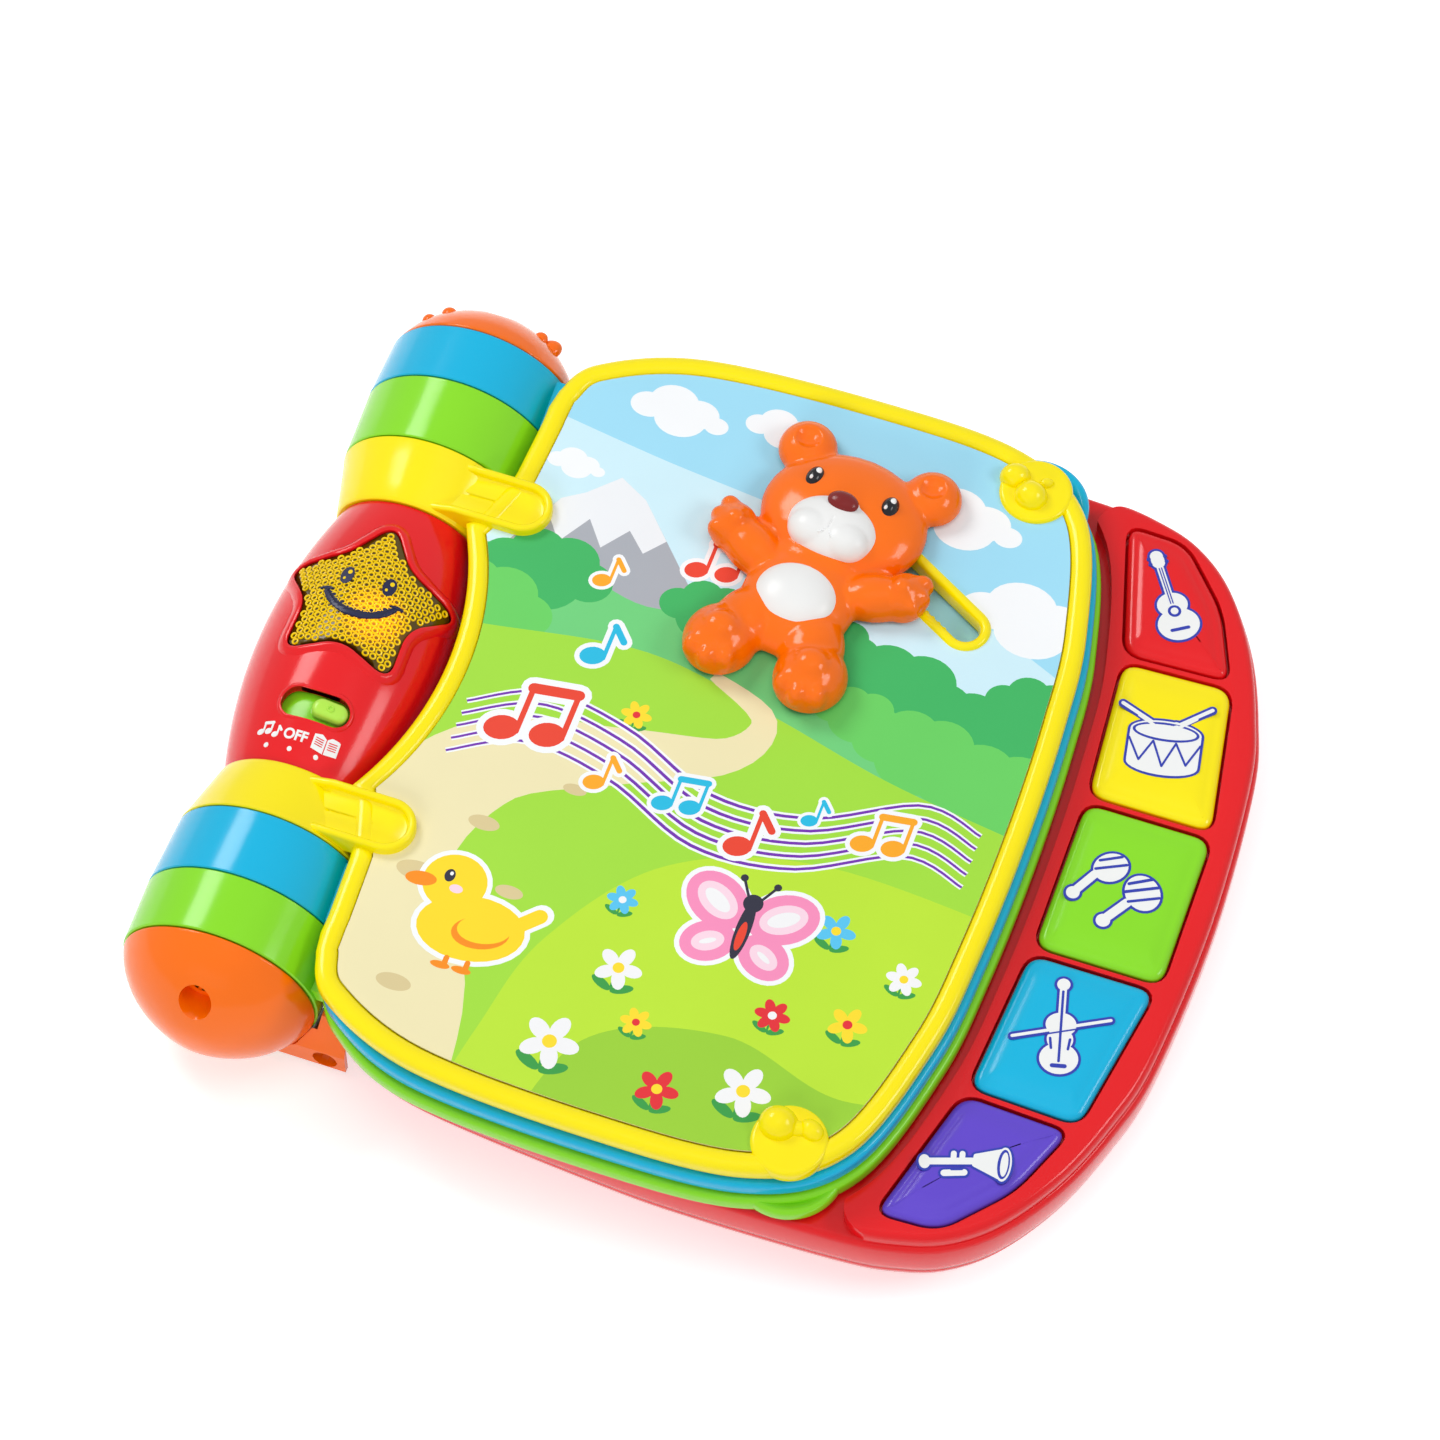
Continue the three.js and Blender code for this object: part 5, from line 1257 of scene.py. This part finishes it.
# Screws with a cross recess
screws = {"headRadius": 3.1, "capHeadRadius": 4.1, "crossLength": 3.4, "crossWidth": 0.8, "crossDepth": 1.2,
          "base": ((0.237, 0.742, 0.3), (0.237, -0.742, 1.0), (0.82, 0.66, 0.7), (0.82, -0.66, 0.1)),
          "baseHeight": 9.2, "foot": (31, 104.3, 9.4), "cap": (0, 113.4, 45.0), "doorHeight": 3.1}


def screwTemplate(radius):
    share = radius / screws["headRadius"]
    head = turnedTemplate("screwHead", [(1.4, -8), (1.5, -2.2), (radius - 0.3, -2), (radius, -1.7),
                                        (radius, -0.7), (radius - 0.25, -0.35), (radius - 0.9, -0.05),
                                        (radius - 1.6, 0)],
                          40)
    length, width, depth = (screws[k] * share / 2 for k in ("crossLength", "crossWidth", "crossDepth"))
    for a, b in ((length, width), (width, length)):
        cross = [(-a, -b), (a, -b), (a, b), (-a, b)]
        cutBy(head, templatePart("crossArm", *loft([levelled(cross, -depth * 2), levelled(cross, 1)])))
    return head


def makeScrews():
    small, large = screwTemplate(screws["headRadius"]), screwTemplate(screws["capHeadRadius"])
    down = (0, 0, -1)
    (footX, footY, footZ), (capX, capY, capZ) = screws["foot"], screws["cap"]
    base = [((x * book["baseRight"], y * book["baseHalf"], screws["baseHeight"]), down, turn)
            for x, y, turn in screws["base"]]
    feet = [((footX, side * footY, footZ), (0, side, 0), 0.4 * side) for side in (1, -1)]
    caps = [((capX, side * capY, capZ), (0, side, 0), 0.6 + side) for side in (1, -1)]
    hatch = [((door["screwX"], 0, screws["doorHeight"]), down, 0.5)]
    for name, head, places, replaced in (
            ("baseScrews", small, base, [f"base_screw_{i}" for i in (1, 2, 3, 4)]),
            ("footScrews", small, feet, ["foot_screw_far", "foot_screw_near"]),
            ("capScrews", large, caps, ["cap_screw_far", "cap_screw_near"]),
            ("doorScrew", small, hatch, ["battery_door_screw"])):
        finished(copiesOf(name, head, places, finishes["metal"]), "base", "metal", *replaced)
    for part in (small, large):
        bpy.data.objects.remove(part)


makeScrews()
print("screws made")


# Star light: tinted lens over small round cells, with a plain smile
starFace = {"cellMargin": 0.9, "lensThickness": 2.4, "lensDrop": 0.25, "rows": 14,
            "cellRing": ((0.12, -0.4), (0.1, 0.02), (0, 0.24), (-0.12, 0.28), (-0.26, 0.22), (-0.42, 0.0),
                         (-0.5, -0.4)),
            "eyeX": 6.3, "eyeY": 5.2, "eye": (1.9, 3.0), "printRise": 0.55, "cheekRise": 0.56,
            "glintRise": 0.62, "glints": ((0.4, 1.2, 0.62), (-0.5, -1.2, 0.4)), "smileY": 4.4,
            "smile": (11.6, 11.2), "smileFrom": 1.14, "smileSpan": 0.72, "smileSteps": 24,
            "smileWidth": 0.9}


def insideOf(outline, x, y):
    inside, p = False, list(outline)
    for (x0, y0), (x1, y1) in zip(p, p[1:] + p[:1]):
        if (y0 > y) != (y1 > y) and x < (x1 - x0) * (y - y0) / (y1 - y0) + x0:
            inside = not inside
    return inside


def starCells():
    cells, pitch, rows = [], star["cellPitch"], starFace["rows"]
    edge = starOutline(-starFace["cellMargin"])
    for row in range(-rows, rows + 1):
        for column in range(-rows, rows + 1):
            x = (column + (row % 2) / 2) * pitch
            y = star["y"] + row * pitch * math.sqrt(3) / 2
            if insideOf(edge, x, y):
                place = onBarrel(x, y, star["proud"] - 0.1)
                facing = Vector((x, 0, place[2] - book["axisHeight"])).normalized()
                facing.y = spineRadius(y - 0.5) - spineRadius(y + 0.5)
                cells.append((place, facing.normalized(), 0.0))
    return cells


def filledSheet(outline, heightOf, spacing, low, high):
    count = len(outline)
    points = [tuple(p) for p in outline]
    xs, ys = [p[0] for p in points], [p[1] for p in points]
    inner = grown(outline, -spacing * 0.5)
    y = min(ys)
    while y < max(ys):
        x = min(xs)
        while x < max(xs):
            if insideOf(inner, x, y):
                points.append((x, y))
            x += spacing
        y += spacing
    flat, _, triangles, _, _, _ = delaunay_2d_cdt([Vector(p) for p in points], [], [list(range(count))],
                                                  1, 1e-4, True)
    up = [(p.x, p.y, heightOf(p.x, p.y, high)) for p in flat]
    down = [(p.x, p.y, heightOf(p.x, p.y, low)) for p in flat]
    total = len(flat)
    faces = [tuple(t) for t in triangles] + [tuple(i + total for i in reversed(t)) for t in triangles]
    for i in range(count):
        j = (i + 1) % count
        faces.append((i, i + total, j + total, j))
    return up + down, faces


def onBarrelZ(x, y, height):
    return onBarrel(x, y, height)[2]


def makeStar():
    lensTop = star["proud"] - starFace["lensDrop"]
    lens = addMesh("starLens", *filledSheet(starOutline(0), onBarrelZ, 1.6, -starFace["lensThickness"],
                                            lensTop),
                   finishes["amberLens"], 50)
    finished(lens, "star", "amber", "star_button")
    cell = turnedTemplate("cellPart", [(star["cellRadius"] + out, z) for out, z in starFace["cellRing"]],
                          14, loop=True)
    finished(copiesOf("starCells", cell, starCells(), finishes["amberCell"]), "star", "amber")
    bpy.data.objects.remove(cell)
    eyeY, steps, rise = star["y"] + starFace["eyeY"], starFace["smileSteps"], starFace["printRise"]
    eyes = [(-starFace["eyeX"], eyeY), (starFace["eyeX"], eyeY)]
    ink = [filledSheet(ellipse(*eye, *starFace["eye"], steps=28), onBarrelZ, 0.8, 0, rise) for eye in eyes]
    smile = []
    for i in range(steps + 1):
        a = math.pi * (starFace["smileFrom"] + starFace["smileSpan"] * i / steps)
        smile.append((starFace["smile"][0] * math.cos(a),
                      star["y"] + starFace["smileY"] + starFace["smile"][1] * math.sin(a)))
    widths = [starFace["smileWidth"] * (1 + math.sin(math.pi * i / steps)) for i in range(steps + 1)]
    ink.append(filledSheet(strip(smile, widths), onBarrelZ, 0.7, 0, rise))
    for x, y in (smile[0], smile[-1]):
        cheek = strip([(x - 1.9, y), (x, y + 0.4), (x + 1.9, y + 0.2)], [0.5, 1.1, 0.5])
        ink.append(filledSheet(cheek, onBarrelZ, 0.5, 0, starFace["cheekRise"]))
    finished(addMesh("starFace", *joined(*ink), finishes["inkNavy"]), "star", "black")
    glints = [filledSheet(ellipse(x + dx, y + dy, r, r * 1.2, steps=16), onBarrelZ, 0.4, 0.3,
                          starFace["glintRise"])
              for x, y in eyes for dx, dy, r in starFace["glints"]]
    finished(addMesh("starGlints", *joined(*glints), finishes["amberCell"]), "star", "amber")


def makeSwitch():
    rest = switch["restRun"] / spineRadius(switch["y"])

    def bent(points):  # wraps flat points round the barrel, at the switch's rest place
        out = []
        for x, y, rise in points:
            radius = spineRadius(switch["y"]) + rise
            angle = math.pi / 2 + rest - x / radius
            out.append((radius * math.cos(angle), switch["y"] + y,
                        book["axisHeight"] + radius * math.sin(angle)))
        return out
    half, radius = switch["knobHalf"], switch["knobRadius"]
    knob = [bent(levelled(capsule(-half, 0, half, 0, radius + grow, 14), rise))
            for grow, rise in switch["knob"]]
    grip = [bent(levelled(ellipse(0, 0, r, r, steps=28), rise)) for r, rise in switch["knobRing"]]
    finished(addMesh("switchKnob", *joined(loft(knob), loft(grip, loop=True)), finishes["light_green"]),
             "mode_switch", "light_green", "switch_knob")
    length, width, top, foot = (switch[k] for k in ("slideHalf", "slideWidth", "slideTop", "slideFoot"))
    rows = []
    for i in range(31):
        x = -length + 2 * length * i / 30
        rows.append(bent([(x, -width, top), (x, width, top), (x, width, foot), (x, -width, foot)]))
    finished(addMesh("switchSlider", *loft(rows), finishes["green"]), "mode_switch", "green",
             "switch_slider")


# Prints below the switch: notes, the word OFF and an open book, with a dot under each
signs = {"y": -36.6, "notes": ((-12.6, -0.4, 2.6, True), (-8.2, -0.8, 2.4, False)), "noteGrow": 0.14,
         "dots": (-9.6, -2.6, 5.2), "dotY": -40.6, "dotRadius": 0.68, "foot": -0.3, "rise": 0.14,
         "bookX": 6.6, "page": ((0.16, -2.6), (0.16, 1.6), (1.6, 2.5), (3.7, 2.1), (3.7, -2.0), (1.6, -1.7)),
         "lines": 4, "linePitch": 0.62, "lineRadius": 0.12, "lineRise": 0.2,
         "word": "OFF", "wordX": -2.2, "wordDrop": 1.2, "wordSize": 4.0, "wordThick": 0.12, "wordBold": 0.13}


def makeSigns():
    y0, bookX = signs["y"], signs["bookX"]
    outlines = []
    for x, dy, size, double in signs["notes"]:
        outlines += [grown(shape, signs["noteGrow"]) for shape in noteShapes(x, y0 + dy, size, double)]
    outlines += [ellipse(x, signs["dotY"], signs["dotRadius"], signs["dotRadius"], steps=20)
                 for x in signs["dots"]]
    outlines += [[(bookX + side * x, y0 + y) for x, y in signs["page"]] for side in (-1, 1)]
    marks = [filledSheet(outline, onBarrelZ, 1.0, signs["foot"], signs["rise"]) for outline in outlines]
    finished(addMesh("switchPrints", *joined(*marks), finishes["inkWhite"]), "base", "white")
    lines = []
    for side in (-1, 1):
        for i in range(signs["lines"]):
            y = y0 + 1.0 - i * signs["linePitch"]
            line = capsule(bookX + side * 0.8, y, bookX + side * 3.0, y + 0.25, signs["lineRadius"], 4)
            lines.append(filledSheet(line, onBarrelZ, 0.6, 0, signs["lineRise"]))
    finished(addMesh("bookLines", *joined(*lines), finishes["red"]), "base", "red")
    curve = bpy.data.curves.new("offWord", "FONT")
    curve.body, curve.align_x = signs["word"], "CENTER"
    curve.size, curve.extrude, curve.offset = (signs[k] * mm for k in ("wordSize", "wordThick", "wordBold"))
    word = newObject("offWord", curve)
    mesh = bpy.data.meshes.new_from_object(word.evaluated_get(bpy.context.evaluated_depsgraph_get()))
    bpy.data.objects.remove(word)
    for vertex in mesh.vertices:
        x, y, rise = (c / mm for c in vertex.co)
        vertex.co = rowPoint(onBarrel(x + signs["wordX"], y + y0 - signs["wordDrop"], rise + 0.03))
    mesh.materials.clear()
    mesh.materials.append(finishes["inkWhite"])
    tidyMesh(mesh)
    finished(newObject("offPrint", mesh), "base", "white")


makeStar()
makeSwitch()
makeSigns()
print("star and switch made")


# Small forms: pad bumps, cap bumps and lug, slot teeth
bumps = {  # caps: x, y, z, three radii and turn; pads: x, y, two radii, foot, height and turn
    "cap": ((-18.4, 109.8, 45.4, 2.2, 2.3, 2.1), (-13.4, 113.2, 46.4, 2.4, 2.3, 2.3),
            (16.6, 115.0, 40.4, 3.8, 3.0, 2.2, 40), (13.4, 116.4, 42.6, 2.2, 2.2, 1.6)),
    "pad": ((159.4, 110.6, 4.4, 3.8, 52.6, 4.0, 20), (165.6, 105.6, 5.0, 4.6, 52.6, 4.8, -20),
            (162.2, -104.6, 5.4, 5.1, 52.6, 5.0), (171.2, -103.6, 3.7, 2.9, 52.6, 3.2, -25),
            (166.8, -104.4, 4.2, 2.4, 52.4, 2.6, 5), (168.6, 111.0, 2.2, 1.6, 52.6, 2.0, 30)),
}


def domeShape(x, y, rx, ry, z0, height, turn=0):
    levels = [levelled(ellipse(x, y, rx, ry, turn, 40), z0 - 1)]
    for i in range(9):
        a = math.pi / 2 * i / 9
        k = math.cos(a)
        levels.append(levelled(ellipse(x, y, rx * k, ry * k, turn, 40), z0 + height * math.sin(a)))
    return loft(levels)


def makeSmallForms():
    capForms = joined(*(lump(*values) for values in bumps["cap"]))
    finished(addMesh("capForms", *capForms, finishes["orange"]), "base", "orange")
    padForms = joined(*(domeShape(*values) for values in bumps["pad"]))
    finished(addMesh("padBumps", *padForms, finishes["yellow"]), "cover", "yellow")
    tooth = turnedTemplate("toothPart", [(0.75, -0.9), (0.75, -0.1), (0.5, 0.25), (0.12, 0.4)], 14)
    (x0, y0), (x1, y1) = bearSlot["start"], bearSlot["end"]
    length, pitch, half = math.hypot(x1 - x0, y1 - y0), bearSlot["toothPitch"], bearSlot["halfWidth"]
    ux, uy = (x1 - x0) / length, (y1 - y0) / length
    places = []
    for i in range(int((length - 4) / pitch)):
        run = bearSlot["firstTooth"] + i * pitch
        x, y = x0 + ux * run + uy * half, y0 + uy * run - ux * half
        places.append(((x, y, bearSlot["top"] - bearSlot["toothDrop"]), (-uy, ux, 0), 0.0))
    finished(copiesOf("slotTeeth", tooth, places, finishes["yellow"]), "cover", "yellow")
    bpy.data.objects.remove(tooth)


def makeDoor():
    outline = roundedPolygon(doorCorners(0), door["corner"], 6)
    levels = [levelled(grown(outline, -0.3), 0.15), levelled(outline, 0.45),
              levelled(outline, door["thickness"])]
    panel = addMesh("batteryDoor", *loft(levels), finishes["red"])
    bore = ellipse(door["screwX"], 0, door["screwRadius"], door["screwRadius"])
    cutBy(panel, prismPiece("doorBore", bore, -1, 3))
    finished(panel, "base", "red", "battery_door")
    ribs, half = [], door["ribHalf"]
    for i in range(door["ribs"]):
        x = door["firstRib"] + i * door["ribPitch"]
        ribs.append(loft([levelled(capsule(x, -half, x, half, r, 5), z)
                          for r, z in ((0.55, 0.05), (0.7, 0.5))]))
    finished(addMesh("doorRibs", *joined(*ribs), finishes["red"]), "base", "red")


makeSmallForms()
makeDoor()
print("small forms and battery door made")


# Bear: a plain teddy, its forms joined and softened
bear = {  # forms: x, y, z, three radii and turn, from the belly's middle; sided ones are made left and right
    "x": 116.0, "y": 60.0, "tilt": -7.0, "base": 53.2, "voxel": 0.75, "postRadius": 3.7, "post": (49.2, 56),
    "middle": ((0, 20, 1, 24.5, 20.5, 9.6), (0, 15, 1, 22, 15, 9.4), (0, -10, 1, 16.5, 18.5, 8.4),
               (0, 3, 1, 14, 11, 7.4)),
    "sided": ((19.5, 37, 1, 8.6, 8.6, 6.6, 0), (19, 0, 1.2, 11, 7.2, 7.2, 24),
              (26.5, 3.6, 1.4, 6.8, 7.4, 8.0, 0), (14, -31, 1, 10.6, 11, 9.4, 0),
              (10, -22, 1, 9.5, 12, 7.6, 20)),
    "pads": ((14, -30.5, 7.6, 5.6, 5.2, 4.4), (26.0, 3.4, 7.0, 3.4, 3.2, 3.6)),
    "earHollow": (19.5, 37.6, 9.4, 5.0, 5.0, 4.4),
    "muzzle": ((0, 12.6, 6.4, 13.6, 10.4, 6.6), (4.8, 9.8, 7.6, 7.6, 6.4, 5.6),
               (-4.8, 9.8, 7.6, 7.6, 6.4, 5.6), (0, 17.5, 6.8, 7, 7, 5.6)),
    "muzzleGroove": (0, 9.8, 13.8, 0.5, 5.0, 1.4), "tummy": (0, -11, 4.4, 12.6, 11.2, 6.6),
    "nose": (0, 19.0, 12.0, 4.6, 3.2, 2.1), "eye": (11.6, 25.0, 7.3, 2.7, 3.9, 3.5),
    "glintHeight": 10.1, "glints": ((0.5, 1.3, 0.95), (-0.5, -1.3, 0.6)),
}


def bearPoint(x, y):
    a = math.radians(bear["tilt"])
    return (bear["x"] + x * math.cos(a) - y * math.sin(a), bear["y"] + x * math.sin(a) + y * math.cos(a))


def ballShape(x, y, z, rx, ry, rz, turn=0.0, rows=18, columns=32):
    return lump(*bearPoint(x, y), bear["base"] + z, rx, ry, rz, turn + bear["tilt"], rows, columns)


def modelled(name, shapes, finish, voxel, smooth, floor, dents=()):
    piece = addMesh(name, *joined(*shapes), finish)
    step = piece.modifiers.new("join", "REMESH")
    step.mode, step.voxel_size = "VOXEL", voxel * mm
    settle(piece)
    if dents:
        cutBy(piece, *[addMesh("dent", *dent, finish) for dent in dents])
    low = rowPoint((0, 0, bear["base"] + floor))[2]
    work = bmesh.new()
    work.from_mesh(piece.data)
    bmesh.ops.bisect_plane(work, geom=work.verts[:] + work.edges[:] + work.faces[:], plane_co=(0, 0, low),
                           plane_no=(0, 0, -1), clear_outer=True)
    bmesh.ops.holes_fill(work, edges=[e for e in work.edges if e.is_boundary], sides=0)
    work.to_mesh(piece.data)
    work.free()
    soften = piece.modifiers.new("soften", "SMOOTH")
    soften.factor, soften.iterations = 0.5, smooth
    settle(piece)
    piece.data.materials.clear()
    piece.data.materials.append(finish)
    tidyMesh(piece.data, 60)
    for vertex in piece.data.vertices:
        vertex.co.z = max(vertex.co.z, low)
    return piece


def makeBear():
    shapes = [ballShape(*values) for values in bear["middle"]]
    hollows = []
    for side in (1, -1):
        shapes += [ballShape(side * x, *rest, side * turn) for x, *rest, turn in bear["sided"]]
        hollows.append(ballShape(side * bear["earHollow"][0], *bear["earHollow"][1:]))
        for i in (-1, 0, 1):  # three toes and three fingers
            shapes.append(ballShape(side * 14 + i * 5.2, -39.2 + abs(i) * 1.8, 4.4, 3.0, 3.6, 4.4,
                                    rows=12, columns=20))
            shapes.append(ballShape(side * (31.0 - abs(i)), 4.4 + i * 4.4, 3.4, 3.2, 2.5, 4.2, rows=12,
                                    columns=20))
        shapes += [ballShape(side * x, *rest) for x, *rest in bear["pads"]]
    stem = ellipse(*bearSlot["start"], bear["postRadius"], bear["postRadius"])
    post = loft([levelled(stem, z) for z in bear["post"]])
    body = modelled("bearBody", shapes, finishes["orange"], bear["voxel"], 9, 0.05, hollows)
    finished(body, "bear", "orange", "bear_body")
    finished(addMesh("bearPost", *post, finishes["orange"]), "bear", "orange")
    muzzle = [ballShape(*values) for values in bear["muzzle"]]
    groove = [ballShape(*bear["muzzleGroove"], rows=10, columns=14)]
    finished(modelled("bearMuzzle", muzzle, finishes["white"], 0.5, 4, 4.5, groove), "bear", "white",
             "bear_muzzle")
    finished(modelled("bearTummy", [ballShape(*bear["tummy"])], finishes["white"], 0.6, 3, 3.5), "bear",
             "white", "bear_tummy")
    finished(addMesh("bearNose", *ballShape(*bear["nose"]), finishes["nose"]), "bear", "nose", "bear_nose")
    eyeX, eyeY, *eyeForm = bear["eye"]
    eyes = [ballShape(side * eyeX, eyeY, *eyeForm) for side in (1, -1)]
    finished(addMesh("bearEyes", *joined(*eyes), finishes["black"]), "bear", "black", "bear_eye_right",
             "bear_eye_left")
    glints = [ballShape(side * eyeX + dx, eyeY + dy, bear["glintHeight"], r, r * 1.2, 0.9, rows=8,
                        columns=12)
              for side in (1, -1) for dx, dy, r in bear["glints"]]
    finished(addMesh("bearGlints", *joined(*glints), finishes["inkWhite"]), "bear", "white")
    smile = []
    for side in (1, -1):
        arc = [(side * (0.2 + 3.6 * t), 9.6 - 2.4 * math.sin(math.pi * t * 0.9))
               for t in np.linspace(0, 1, 9)]
        smile += [ballShape(x, y, 12.15 - abs(x) * 0.13, 0.55, 0.55, 0.55, rows=6, columns=8)
                  for x, y in arc]
    finished(addMesh("bearSmile", *joined(*smile), finishes["inkWhite"]), "bear", "white")


makeBear()
print("bear made")
